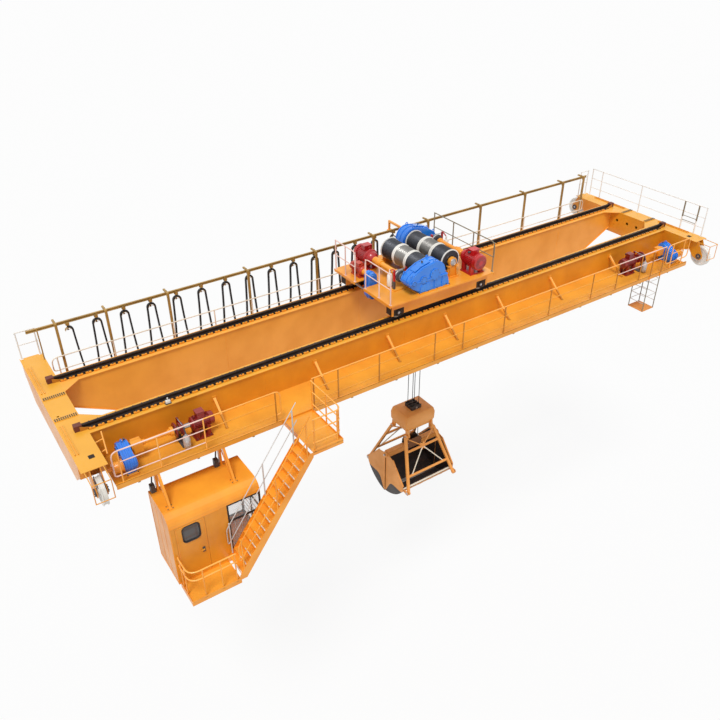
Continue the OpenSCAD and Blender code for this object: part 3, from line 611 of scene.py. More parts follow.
@dataclass
class Blank:
    """A piece on the bench: points, faces, and the number of the finish on each face."""

    name: str
    points: list[Vector] = field(default_factory=list)
    faces: list[tuple[list[int], int]] = field(default_factory=list)

    def skin(self, rings: Sequence[Sequence[Point]], finish: int, loop: bool = False) -> None:
        """Joins rings of points, all with the same count, into a closed skin.

        Args:
            rings: The rings in order.
            finish: Which of the piece's finishes it gets.
            loop: Whether the last ring joins the first. If not, both ends are capped.
        """
        first, n, m = len(self.points), len(rings), len(rings[0])
        self.points += [Vector(p) for ring in rings for p in ring]
        faces: list[Iterable[int]] = [
            (i * m + k, i * m + (k + 1) % m, (i + 1) % n * m + (k + 1) % m, (i + 1) % n * m + k)
            for i in range(n if loop else n - 1) for k in range(m)]
        if not loop:
            faces += [range(m), range(n * m - 1, (n - 1) * m - 1, -1)]
        self.faces += [([first + i for i in face], finish) for face in faces]

    def block(self, low: Point, high: Point, finish: int = 0) -> None:
        """A rectangular block between two opposite corners."""
        (x0, x1), (y0, y1), levels = (sorted(pair) for pair in zip(low, high))
        self.skin([[(x0, y0, z), (x1, y0, z), (x1, y1, z), (x0, y1, z)] for z in levels], finish)

    def prism(self, outline: Outline, axis: Axis, start: float, end: float, finish: int = 0) -> None:
        """Extrudes an outline, given in the two cross coordinates, along an axis."""
        self.skin([[axis.place(a, *p) for p in outline] for a in sorted((start, end))], finish)

    def beam(self, start: Point, end: Point, half_wide: Pair, half_deep: float, finish: int = 0
             ) -> None:
        """A flat bar between two points that lie in a plane across the span.

        Args:
            start: Where its centre line starts.
            end: Where it ends.
            half_wide: Half its width along the span at its start and its end.
            half_deep: Half its thickness.
            finish: Which of the piece's finishes it gets.
        """
        a, b = Vector(start), Vector(end)
        wide = Vector((1, 0, 0))
        deep = (b - a).cross(wide).normalized() * half_deep
        self.skin([[p + wide * s * w + deep * t for s, t in ((-1, -1), (1, -1), (1, 1), (-1, 1))]
                   for p, w in zip((a, b), half_wide)], finish)

    def bar(self, path: Sequence[Point], radius: float, finish: int = 0, sides: int = 10,
            loop: bool = False) -> None:
        """A round bar swept along a path.

        Args:
            path: The points of the bar's centre line.
            radius: The bar's radius.
            finish: Which of the piece's finishes it gets.
            sides: How many sides the round has.
            loop: Whether the last point joins the first.
        """
        points = [Vector(p) for p in path]
        n = len(points)
        across = None
        rings = []
        for i, point in enumerate(points):
            after = points[(i + 1) % n] if loop else points[min(i + 1, n - 1)]
            run = (after - points[i - 1 if loop else max(i - 1, 0)]).normalized()
            if across is None:
                across = run.cross(Vector((0, 0, 1)) if abs(run.z) < 0.9 else Vector((1, 0, 0)))
            across = (across - run * across.dot(run)).normalized()
            other = run.cross(across)
            turns = (2 * math.pi * (k + 0.5) / sides for k in range(sides))
            rings.append([point + (across * math.cos(t) + other * math.sin(t)) * radius
                          for t in turns])
        self.skin(rings, finish, loop)

    def turned(self, profile: Sequence[Pair], centre: Point, axis: Axis, finish: int = 0,
               sides: int = 48, ring: bool = False) -> None:
        """A shape turned on the lathe.

        Args:
            profile: Places along the axis with the radius at each.
            centre: The point of the axis that the places are counted from.
            axis: The direction of the axis.
            finish: Which of the piece's finishes it gets.
            sides: How many sides the round has.
            ring: Whether the profile closes on itself round a hole.
        """
        self.skin([around(Vector(centre) + axis.place(a, 0, 0), axis, r, sides)
                   for a, r in profile], finish, ring)

    def tube(self, ends: Pair, radii: Pair, centre: Point, axis: Axis, finish: int = 0,
             sides: int = 20) -> None:
        """A square-edged ring: from one place to another on the axis, between two radii.

        Args:
            ends: Where it begins and ends along the axis.
            radii: Its inner and its outer radius.
            centre: The place on the axis that it is measured from.
            axis: The axis.
            finish: Which of the piece's finishes it gets.
            sides: How many sides the round has.
        """
        (a, b), (inner, outer) = ends, radii
        self.turned([(a, outer), (b, outer), (b, inner), (a, inner)], centre, axis, finish, sides,
                    ring=True)

    def disc(self, centre: Point, axis: Axis, radius: float, thick: float, finish: int = 0,
             sides: int = 32) -> None:
        """A round boss or plate with a small chamfer, from its centre along the axis.

        Args:
            centre: Where it begins.
            axis: The axis.
            radius: Its radius.
            thick: How far it reaches along the axis, or back if below 0.
            finish: Which of the piece's finishes it gets.
            sides: How many sides the round has.
        """
        sign = math.copysign(1, thick)
        soft = min(0.006, abs(thick) / 3, radius / 3)
        self.turned([(0, radius - soft), (soft * sign, radius), (thick - soft * sign, radius),
                     (thick, radius - soft)], centre, axis, finish, sides)

    def bolts(self, places: Iterable[Point], axis: Axis, size: float, finish: int = 0,
              proud: float = 1.0) -> None:
        """Hexagon heads.

        Args:
            places: Where each head sits.
            axis: The direction that they stand up along.
            size: Their width.
            finish: Which of the piece's finishes they get.
            proud: How far they stand up, as a share of the usual. Below 0 they point back.
        """
        top = size * 0.65 * proud
        for place in places:
            self.turned([(0, size / 2), (top, size / 2), (top, size * 0.1)], place, axis, finish, 6)

    def flip(self, x: float | None = None, y: float | None = None) -> None:
        """Mirrors the whole piece in a plane across the span, in one along it, or in both.

        Args:
            x: Where the plane across the span stands, if there is one.
            y: Where the plane along the span stands, if there is one.
        """
        for p in self.points:
            p.x = p.x if x is None else 2 * x - p.x
            p.y = p.y if y is None else 2 * y - p.y


@dataclass
class Fitter:
    """Makes finished pieces from blanks and fits them to the frame's bodies."""

    lift: float

    def mesh(self, blank: Blank, finishes: Sequence[Any]) -> bpy.types.Object:
        """Makes a blank into an object with closed, outward-facing skins.

        Args:
            blank: The drawn shape.
            finishes: The finishes that its faces name by number.

        Returns:
            The new object, lifted to its place.
        """
        mesh = bpy.data.meshes.new(blank.name)
        up = Vector((0, 0, self.lift))
        mesh.from_pydata([p + up for p in blank.points], [], [face for face, _ in blank.faces])
        for finish in finishes:
            mesh.materials.append(finish.material())
        mesh.polygons.foreach_set("material_index", [finish for _, finish in blank.faces])
        shape = bmesh.new()
        shape.from_mesh(mesh)
        bmesh.ops.recalc_face_normals(shape, faces=shape.faces)
        shape.to_mesh(mesh)
        shape.free()
        mesh.polygons.foreach_set("use_smooth", [True] * len(mesh.polygons))
        mesh.set_sharp_from_angle(angle=math.radians(38))
        return show(blank.name, mesh)

    def soften(self, made: bpy.types.Object, width: float) -> None:
        """Rounds a piece's edges with a bevel that is applied at once.

        Args:
            made: The object.
            width: The bevel's width.
        """
        modifier = made.modifiers.new("Softened edges", "BEVEL")
        modifier.width = width
        modifier.segments = 2
        modifier.limit_method = "ANGLE"
        modifier.angle_limit = math.radians(40)
        modifier.harden_normals = True
        settle(made)

    def hang(self, made: bpy.types.Object, body: str, slot: str, node: str = "") -> None:
        """Lets a finished object ride on a body.

        Args:
            made: The object.
            body: The body that it moves with.
            slot: The record's material slot. Not used.
            node: The frame's node that it stands for, if any.
        """
        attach(made, body)
        self.label(node)
        LOG.info("%s on %s, %d faces", made.name, body, len(made.data.polygons))

    def stretch(self, made: bpy.types.Object, bodies: tuple[str, str], ends: tuple[Point, Point],
                slot: str, node: str = "") -> None:
        """Lets a finished object reach from one body to the next, as a rope or a cable does.

        Args:
            made: The object.
            bodies: The bodies that it joins.
            ends: Where it leaves the first and meets the second. Not used.
            slot: The record's material slot. Not used.
            node: The frame's node that it stands for, if any.
        """
        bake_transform(made)
        self.label(node)
        LOG.info("%s between %s and %s", made.name, *bodies)

    def label(self, node: str) -> None:
        """Hides the frame's node that an object stands for.

        Args:
            node: The frame's node that it stands for, if any.
        """
        if node:
            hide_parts(node)


def show(name: str, data: Any) -> bpy.types.Object:
    """Puts a mesh, a lamp or a camera into the scene as an object of the given name.

    Args:
        name: The object's name.
        data: The mesh, the lamp or the camera.

    Returns:
        The object.
    """
    made = bpy.data.objects.new(name, data)
    bpy.context.scene.collection.objects.link(made)
    return made


def settle(made: bpy.types.Object) -> None:
    """Turns an object with modifiers into its plain evaluated mesh.

    Args:
        made: The object.
    """
    graph = bpy.context.evaluated_depsgraph_get()
    old = made.data
    mesh = bpy.data.meshes.new_from_object(made.evaluated_get(graph))
    made.modifiers.clear()
    made.data = mesh
    mesh.name = made.name
    bpy.data.meshes.remove(old)


# ---- Geometry Nodes ----


class NodeShop:
    """A Geometry Nodes tree with named inputs, which it runs into a plain mesh."""

    KINDS = {float: "NodeSocketFloat", int: "NodeSocketInt", tuple: "NodeSocketVector"}

    def __init__(self, name: str, **sizes: type) -> None:
        """Starts a tree.

        Args:
            name: The tree's name.
            sizes: Its inputs, each with the kind of its value: float, int or tuple.
        """
        self.tree = bpy.data.node_groups.new(name, "GeometryNodeTree")
        face = self.tree.interface
        face.new_socket("Geometry", in_out="OUTPUT", socket_type="NodeSocketGeometry")
        self.sockets = {key: face.new_socket(key, in_out="INPUT", socket_type=self.KINDS[kind])
                        .identifier for key, kind in sizes.items()}
        self.size = self.tree.nodes.new("NodeGroupInput").outputs

    def put(self, kind: str, inputs: dict[Any, Any] | None = None, **settings: Any) -> Any:
        """Adds a node of this tree and returns its outputs."""
        return add(self.tree, kind, inputs, **settings)

    def row(self, thing: Socket) -> Socket:
        """Sets a thing at every step of a straight row.

        Args:
            thing: The geometry that is set at each step.

        Returns:
            The row.
        """
        line = self.put("GeometryNodeMeshLine", {
            "Count": self.size["count"], "Start Location": self.size["start"],
            "Offset": self.size["step"]}, mode="OFFSET")[0]
        return self.put("GeometryNodeInstanceOnPoints", {"Points": line, "Instance": thing})[0]

    def deliver(self, geometry: Socket, finish: Finish) -> "NodeShop":
        """Ends the tree in real geometry with its material.

        Args:
            geometry: What the tree has made.
            finish: Its finish.

        Returns:
            The shop itself.
        """
        real = self.put("GeometryNodeRealizeInstances", {0: geometry})[0]
        coat = {"Geometry": real, "Material": finish.material()}
        self.put("NodeGroupOutput", {0: self.put("GeometryNodeSetMaterial", coat)[0]})
        return self

    def run(self, name: str, values: dict[str, Any]) -> bpy.types.Object:
        """Runs the tree with the given sizes and returns the result as a plain object.

        Args:
            name: The piece's name.
            values: The value of each named input.

        Returns:
            The object.
        """
        made = show(name, bpy.data.meshes.new(name))
        modifier = made.modifiers.new("Pattern", "NODES")
        modifier.node_group = self.tree
        for key, value in values.items():
            modifier[self.sockets[key]] = value
        settle(made)
        return made


def row_of_blocks(name: str, finish: Finish) -> NodeShop:
    """A tree that sets blocks in a straight row: clamps, treads, slats, rungs and cleats.

    Args:
        name: The tree's name.
        finish: The blocks' finish.

    Returns:
        The tree's shop. Its inputs are start, step, count and block.
    """
    shop = NodeShop(name, start=tuple, step=tuple, count=int, block=tuple)
    block = shop.put("GeometryNodeMeshCube", {"Size": shop.size["block"]})[0]
    return shop.deliver(shop.row(block), finish)


def row_of_bolts(name: str, finish: Finish) -> NodeShop:
    """A tree that sets hexagon heads in a straight row.

    Args:
        name: The tree's name.
        finish: The heads' finish.

    Returns:
        The tree's shop. Its inputs are start, step, count, width and proud.
    """
    shop = NodeShop(name, start=tuple, step=tuple, count=int, width=float, proud=float)
    radius = shop.put("ShaderNodeMath", {0: shop.size["width"], 1: 0.5}, operation="MULTIPLY")[0]
    head = shop.put("GeometryNodeMeshCylinder", {
        "Vertices": 6, "Radius": radius, "Depth": shop.size["proud"]})["Mesh"]
    return shop.deliver(shop.row(head), finish)


def ring_of_fins(name: str, finish: Finish) -> NodeShop:
    """A tree that sets fins round a barrel whose axis is Z before it is turned.

    Args:
        name: The tree's name.
        finish: The fins' finish.

    Returns:
        The tree's shop. Its inputs are count, radius, fin, centre and turn.
    """
    shop = NodeShop(name, count=int, radius=float, fin=tuple, centre=tuple, turn=tuple)
    size, put = shop.size, shop.put
    circle = put("GeometryNodeMeshCircle", {"Vertices": size["count"], "Radius": size["radius"]})[0]
    number = put("GeometryNodeInputIndex")[0]
    share = put("ShaderNodeMath", {0: number, 1: size["count"]}, operation="DIVIDE")[0]
    angle = put("ShaderNodeMath", {0: share, 1: 2 * math.pi}, operation="MULTIPLY")[0]
    turn = put("ShaderNodeCombineXYZ", {2: angle})[0]
    fin = put("GeometryNodeMeshCube", {"Size": size["fin"]})[0]
    placed = put("GeometryNodeInstanceOnPoints", {
        "Points": circle, "Instance": fin, "Rotation": turn})[0]
    moved = put("GeometryNodeTransform", {
        "Geometry": placed, "Translation": size["centre"], "Rotation": size["turn"]})[0]
    return shop.deliver(moved, finish)


# ---- The studio ----


@dataclass(frozen=True)
class Studio:
    """A pale floor, soft light from above the left front, and the camera."""

    stand: Point = (-2.177, -17.078, 12.21)
    heading: float = 33.786
    dip: float = 32.87
    roll: float = -0.365
    lens: float = 37.34
    floor_half: float = 300.0

    def build(self, floor_z: float) -> None:
        """Sets the floor, the lights and the camera.

        Args:
            floor_z: The floor's height.
        """
        self.floor(floor_z)
        self.lights()
        self.camera()
        bpy.context.scene.view_settings.view_transform = "Standard"

    def camera(self) -> None:
        """The camera, from its heading, its dip below the horizon and its roll."""
        a, e, r = (math.radians(v) for v in (self.heading, self.dip, self.roll))
        ahead = Vector((math.sin(a) * math.cos(e), math.cos(a) * math.cos(e), -math.sin(e)))
        level = Vector((math.cos(a), -math.sin(a), 0))
        upright = level.cross(ahead)
        right = level * math.cos(r) + upright * math.sin(r)
        up = upright * math.cos(r) - level * math.sin(r)
        lens = bpy.data.cameras.new("Camera")
        lens.lens = self.lens
        lens.sensor_width = 36.0
        lens.clip_start = 0.1
        lens.clip_end = 1000.0
        camera = show("Camera", lens)
        turn = Matrix((right, up, -ahead)).transposed()
        camera.matrix_world = Matrix.Translation(Vector(self.stand)) @ turn.to_4x4()
        bpy.context.scene.camera = camera

    def seen(self, tree: Tree, camera_share: float) -> Socket:
        """How much of the white backdrop a ray sees.

        Args:
            tree: The tree of the floor or the sky.
            camera_share: The share for the camera's own rays.

        Returns:
            That share for the camera's rays, 1 in metal and glass, and 0 for light.
        """
        path = add(tree, "ShaderNodeLightPath")
        share = add(tree, "ShaderNodeMath", {0: path["Is Camera Ray"], 1: camera_share},
                    operation="MULTIPLY")[0]
        for ray in ("Is Glossy Ray", "Is Transmission Ray"):
            share = add(tree, "ShaderNodeMath", {0: share, 1: path[ray]}, operation="MAXIMUM")[0]
        return share

    def floor(self, z: float) -> None:
        """A wide pale floor that the camera sees as white with a faint shadow.

        Args:
            z: Its height.
        """
        mesh = bpy.data.meshes.new("studio_floor")
        h = self.floor_half
        mesh.from_pydata([(-h, -h, z), (h, -h, z), (h, h, z), (-h, h, z)], [], [(0, 1, 2, 3)])
        material = bpy.data.materials.new("studio_floor")
        material.use_nodes = True
        tree = material.node_tree
        tree.nodes.clear()
        matt = add(tree, "ShaderNodeBsdfDiffuse", {"Color": (0.66, 0.66, 0.66, 1)})[0]
        glow = add(tree, "ShaderNodeEmission", {"Strength": 1.0})[0]
        mixed = add(tree, "ShaderNodeMixShader", {0: self.seen(tree, 0.88), 1: matt, 2: glow})[0]
        add(tree, "ShaderNodeOutputMaterial", {"Surface": mixed})
        mesh.materials.append(material)
        show("studio_floor", mesh)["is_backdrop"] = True

    def lights(self) -> None:
        """An even pale sky, which the camera sees as white, and one wide soft sun."""
        world = bpy.data.worlds.new("studio_sky")
        world.use_nodes = True
        bpy.context.scene.world = world
        tree = world.node_tree
        tree.nodes.clear()
        strength = add(tree, "ShaderNodeMapRange", {0: self.seen(tree, 1.0), 3: 0.62, 4: 1.0})[0]
        sky = add(tree, "ShaderNodeBackground", {"Color": (1.0, 1.0, 1.0, 1), "Strength": strength})
        add(tree, "ShaderNodeOutputWorld", {"Surface": sky[0]})
        lamp = bpy.data.lights.new("key_light", "SUN")
        lamp.energy = 2.25
        lamp.angle = math.radians(18)
        way = Vector((0.38, 0.38, -1.0)).to_track_quat("-Z", "Y")
        show("key_light", lamp).rotation_euler = way.to_euler()


# ---- The bridge ----


@dataclass
class Bridge:
    """What all bridge parts share: the fitter, the frame, and the main levels."""

    fitter: Fitter
    nodes: dict[str, bpy.types.Object]
    span: float = 22.5
    half_gauge: float = 1.25
    walk_z: float = -0.87
    body: str = "bridge"

    def paint(self, finish: Finish, *names: str) -> None:
        """Gives frame nodes their finish.

        Args:
            finish: The finish.
            names: The nodes' names.
        """
        for name in names:
            mesh = self.nodes[name].data
            mesh.materials.clear()
            mesh.materials.append(finish.material())
            LOG.info("%s painted in %s", name, finish.name)

    def fit(self, blank: Blank, finishes: Sequence[Finish], slot: str, node: str = "",
            body: str = "", soft: float = 0.0) -> None:
        """Makes a piece and fits it to a body.

        Args:
            blank: The drawn shape.
            finishes: The finishes that its faces name by number.
            slot: The record's material slot.
            node: The frame's node that it stands for, if any.
            body: The body that it moves with, where it is not this part's own.
            soft: The radius of its rounded edges, or 0.
        """
        made = self.fitter.mesh(blank, finishes)
        if soft:
            self.fitter.soften(made, soft)
        self.fitter.hang(made, body or self.body, slot, node)

    def lay(self, shop: NodeShop, name: str, slot: str, **sizes: Any) -> None:
        """Runs a Geometry Nodes tree into a piece of this part's body.

        Args:
            shop: The tree's shop.
            name: The piece's name.
            slot: The record's material slot.
            sizes: The tree's inputs. Its start or centre is lifted here.
        """
        for key in {"start", "centre"} & set(sizes):
            x, y, z = sizes[key]
            sizes[key] = (x, y, z + self.fitter.lift)
        self.fitter.hang(shop.run(name, sizes), self.body, slot)

    def end_x(self, end: End, x: float = 0.0) -> float:
        """Where a place near the left end lies at a given end."""
        return x if end is End.LEFT else self.span - x

    def both_ends(self, draw: Callable[[Blank], None], name: str) -> dict[End, Blank]:
        """Draws a piece at the left end and its mirror image at the right end.

        Args:
            draw: Draws the piece at the left end.
            name: The start of both pieces' names.

        Returns:
            The piece at each end.
        """
        made = {end: Blank(f"{name}_{end.name.lower()}") for end in End}
        for end, blank in made.items():
            draw(blank)
            if end is End.RIGHT:
                blank.flip(x=self.span / 2)
        return made


@dataclass
class Rails(Bridge):
    """The trolley rails' dark pads, clamps and nuts, and the stops at their ends."""

    clamp_pitch: float = 0.225
    clamp: Point = (0.15, 0.045, 0.036)
    clamp_off: float = 0.132
    first: float = 0.42

    def build(self) -> None:
        """Builds both rails."""
        self.paint(Stock.rail, "trolley_rails")
        self.pads()
        self.clamps()
        self.stops()

    def pads(self) -> None:
        """Dark elastic strips at both sides of the rail foot, which also paint the shade in the gaps
        between the clamps.
        """
        blank = Blank("rail_pads")
        for y in (-self.half_gauge, self.half_gauge):
            for s in (-1, 1):
                blank.block((0.33, y + s * 0.055, 0.0), (self.span - 0.33, y + s * 0.128, 0.012))
        self.fit(blank, [Stock.rail], "rail_steel")

    def clamps(self) -> None:
        """A clamp on each side of the rail at every pitch, with its nut."""
        clips = row_of_blocks("rail_clamp_row", Stock.yellow)
        nuts = row_of_bolts("rail_nut_row", Stock.grey)
        count = int((self.span - 2 * self.first) / self.clamp_pitch)
        for side in Side:
            for s in (-1, 1):
                y = side.value * self.half_gauge + s * self.clamp_off
                face = "outer" if s == side.value else "inner"
                tag = f"{side.name.lower()}_{face}"
                z = 0.012 + self.clamp[2] / 2
                row = {"step": (self.clamp_pitch, 0.0, 0.0), "count": count}
                self.lay(clips, f"rail_clamps_{tag}", "crane_paint", block=self.clamp,
                         start=(self.first, y, z), **row)
                self.lay(nuts, f"rail_nuts_{tag}", "brake_grey", width=0.034, proud=0.018,
                         start=(self.first, y, z + self.clamp[2] / 2 + 0.009), **row)

    def stops(self) -> None:
        """Red stop blocks at the rails' ends, with a pale gusset on each side."""

        def draw(blank: Blank) -> None:
            """Draws both rails' stops at the left end."""
            for y in (-self.half_gauge, self.half_gauge):
                blank.block((0.014, y - 0.081, 0.0), (0.206, y + 0.081, 0.166), 0)
                for s in (-1, 1):
                    gusset = [(0.14, 0.0), (0.5, 0.0), (0.14, 0.13)]
                    blank.prism(gusset, Axis.Y, y + s * 0.09 - 0.008, y + s * 0.09 + 0.008, 1)

        for blank in self.both_ends(draw, "rail_stops").values():
            self.fit(blank, [Stock.primer, Stock.post], "rail_steel", soft=0.004)


@dataclass
class Girders(Bridge):
    """The two box girders: paint, plate joints, conduit and small fittings."""

    web_face: float = 0.24
    depth: float = 1.45
    joints: Sequence[float] = (5.1, 9.9, 14.7, 19.2)

    def build(self) -> None:
        """Builds the worked pieces of both girders."""
        # the front girder's darker enamel paints the shade on it, the rear girder's lighter one the light
        # on it
        self.paint(Stock.deep, "front_girder")
        self.paint(Stock.lit_yellow, "rear_girder")
        self.seams()
        self.bottom_flanges()
        self.striker()

    def seams(self) -> None:
        """Weld beads where the web plates join."""
        for side in Side:
            blank = Blank(f"web_seams_{side.name.lower()}")
            for x in self.joints:
                for s in (-1, 1):
                    y = side.value * self.half_gauge + s * self.web_face
                    blank.bar([(x, y, -0.03), (x, y, -self.depth + 0.02)], 0.007, 0, 6)
            self.fit(blank, [self.enamel(side)], "crane_paint")

    def enamel(self, side: Side) -> Finish:
        """The enamel of the girder on a side: a darker copy that paints shade at the front, a lighter one
        that paints light at the rear.
        """
        return Stock.deep if side is Side.FRONT else Stock.lit_yellow

    def bottom_flanges(self) -> None:
        """Narrow lips of the bottom flanges along the straight middle of each girder."""
        for side in Side:
            blank = Blank(f"flange_lips_{side.name.lower()}")
            for s in (-1, 1):
                y = side.value * self.half_gauge + s * self.web_face
                start, run = 0.31, 1.4
                for a, b in (((start, -0.75), (start + run, -self.depth)),
                             ((start + run, -self.depth),
                              (self.span - start - run, -self.depth)),
                             ((self.span - start - run, -self.depth),
                              (self.span - start, -0.75))):
                    outline = [a, b, (b[0], b[1] + 0.016), (a[0], a[1] + 0.016)]
                    blank.prism(outline, Axis.Y, y, y + s * 0.03)
            self.fit(blank, [self.enamel(side)], "crane_paint")

    def striker(self) -> None:
        """The pale limit switch on the front girder's flange."""
        blank = Blank("limit_switch")
        blank.block((2.27, -1.50, 0.0), (2.43, -1.40, 0.03), 1)
        blank.block((2.29, -1.49, 0.03), (2.41, -1.41, 0.10), 0)
        blank.turned([(0, 0.012), (0.05, 0.012), (0.055, 0.02), (0.08, 0.02)], (2.35, -1.45, 0.10),
                     Axis.Z, 0, 16)
        self.fit(blank, [Stock.white, Stock.grey], "brake_grey", soft=0.006)


@dataclass
class Carriages(Bridge):
    """The end carriages: bolted splices, stiffening strips, covers and wheel boxes."""

    splices: Sequence[float] = (0.5, -0.58)

    def build(self) -> None:
        """Builds what is bolted and welded to both carriages."""
        # the darker enamel paints the shade on the carriages
        self.paint(Stock.deep, "left_end_carriage", "right_end_carriage")
        self.wheels()
        for blank in self.both_ends(self.draw_top, "carriage_top").values():
            self.fit(blank, [Stock.deep, Stock.grey, Stock.rail], "crane_paint", soft=0.003)
        bolts = row_of_bolts("splice_bolt_row", Stock.grey)
        for end in End:
            for i, y in enumerate(self.splices):
                for row, off in enumerate((-0.035, 0.035)):
                    self.lay(bolts, f"splice_bolts_{end.name.lower()}_{i}_{row}", "brake_grey",
                             start=(self.end_x(end) - 0.26, y + off, 0.022), step=(0.052, 0.0, 0.0),
                             count=11, width=0.034, proud=0.022)

    def wheels(self) -> None:
        """The four crane wheels, each with its rims, hub, web holes' ring and axle."""
        r, w, hub = 0.37, 0.065, 0.102
        half = [(-hub, 0.04), (-hub, 0.086), (-hub + 0.004, 0.09), (-w + 0.03, 0.105),
                (-w + 0.022, r - 0.09), (-w + 0.004, r - 0.07), (-w, r - 0.066), (-w, r - 0.006),
                (-w + 0.006, r), (-w + 0.018, r - 0.001), (-w + 0.022, r - 0.025)]
        for end in End:
            for side in Side:
                node = f"wheel_{end.name.lower()}_{side.name.lower()}"
                middle = Vector((self.end_x(end), side.value * 3.02, -0.57))
                blank = Blank(f"{node}_set")
                blank.turned([*half, *[(-a, b) for a, b in reversed(half)]], middle, Axis.X, 0, 72,
                             ring=True)
                blank.turned([(-0.155, 0.036), (-0.151, 0.04), (0.151, 0.04), (0.155, 0.036)], middle,
                             Axis.X, 1, 32)
                for s in (-1, 1):
                    blank.bolts(around(middle + Vector((s * hub, 0, 0)), Axis.X, 0.066, 6), Axis.X,
                                0.02, 1, 0.3 * s)
                self.fit(blank, [Stock.white, Stock.bright], "wheel_steel", node, body=node, soft=0.002)

    def draw_top(self, blank: Blank) -> None:
        """Splice plates, strips beside the rail ends, and a thin dark plate that paints the shade of the
        lifting hole.

        Args:
            blank: The piece that it is drawn on.
        """
        for y in self.splices:
            blank.block((-0.29, y - 0.065, 0.0), (0.29, y + 0.065, 0.012), 0)
        for x in (-0.235, -0.155):
            blank.block((x - 0.012, 0.78, 0.0), (x + 0.012, 2.3, 0.03), 0)
            blank.block((x - 0.012, -2.2, 0.0), (x + 0.012, -0.86, 0.03), 0)
        # a thin dark plate paints the shade of the lifting hole
        blank.block((0.0, -2.5, 0.0), (0.14, -2.36, 0.006), 2)
        # bearing housings on the forks, with their cap screws
        for s in (-1, 1):
            for x0, thick in ((0.13, 0.03), (-0.13, -0.03)):
                blank.tube((0, thick), (0.06, 0.10), (x0, s * 3.02, -0.57), Axis.X, 1, 32)
                blank.bolts(around((x0 + thick, s * 3.02, -0.57), Axis.X, 0.08, 6), Axis.X, 0.022, 1,
                            math.copysign(1, thick))


@dataclass
class Walkways(Bridge):
    """The walkways: tread plate, and the dark bracket tips below the front edge."""

    front_y: float = -2.77
    tip_pitch: float = 1.55
    stay_x: Sequence[float] = (3.57, 6.7, 9.24, 11.48, 13.69, 16.14, 19.2)

    def build(self) -> None:
        """Builds what is added to both walkways."""
        self.paint(Stock.tread, "walkways")
        tips = row_of_blocks("bracket_tip_row", Stock.olive)
        self.lay(tips, "bracket_tips", "crane_paint",
                 start=(0.95, self.front_y + 0.05, self.walk_z - 0.115),
                 step=(self.tip_pitch, 0.0, 0.0), count=14, block=(0.06, 0.05, 0.05))
        self.plate_joints()
        self.stays()

    def stays(self) -> None:
        """Thicker upper parts and foot clips of the raking stays on the front girder."""
        blank = Blank("walkway_stays")
        for x in self.stay_x:
            top, foot = Vector((x, -1.506, -0.295)), Vector((x, -2.16, self.walk_z))
            # the lower part and the foot clip in the darker post enamel, which paints their shade
            blank.beam(top, top.lerp(foot, 0.55), (0.036, 0.026), 0.026)
            blank.beam(top.lerp(foot, 0.55), foot, (0.025, 0.024), 0.024, 1)
            blank.block((x - 0.04, -2.2, self.walk_z), (x + 0.04, -2.11, self.walk_z + 0.012), 1)
        # a light side frame with two rungs between the girder and the left carriage
        top, foot = Vector((0.56, -1.60, -0.02)), Vector((0.42, -2.5, -0.02))
        blank.bar([top, foot], 0.02, 0)
        for share, reach in ((0.33, 0.2), (0.8, 0.1)):
            at = top.lerp(foot, share)
            blank.bar([at, at - Vector((reach, 0.05, 0.0))], 0.016, 0)
        self.fit(blank, [Stock.rail_front, Stock.post], "crane_paint")

    def plate_joints(self) -> None:
        """Welded seams across the walkway floors, and the kerb's upper lip."""
        blank = Blank("walkway_seams")
        for i in range(1, 9):
            x = 0.4 + 2.4 * i
            blank.block((x - 0.012, self.front_y + 0.01, self.walk_z),
                        (x + 0.012, -1.50, self.walk_z + 0.004))
            blank.block((x - 0.012, 1.50, self.walk_z), (x + 0.012, 2.44, self.walk_z + 0.004))
        for y, s in ((self.front_y, 1), (2.45, -1)):
            gaps = [(0.4, 4.9), (5.86, self.span - 0.4)] if s > 0 else [(0.4, self.span - 0.4)]
            for a, b in gaps:
                blank.block((a, y, self.walk_z + 0.052), (b, y + s * 0.045, self.walk_z + 0.06))
        self.fit(blank, [Stock.yellow], "crane_paint")


class RailStyle(Enum):
    """How the end of a handrail run is closed."""

    LOOP = "loop"
    PLAIN = "plain"


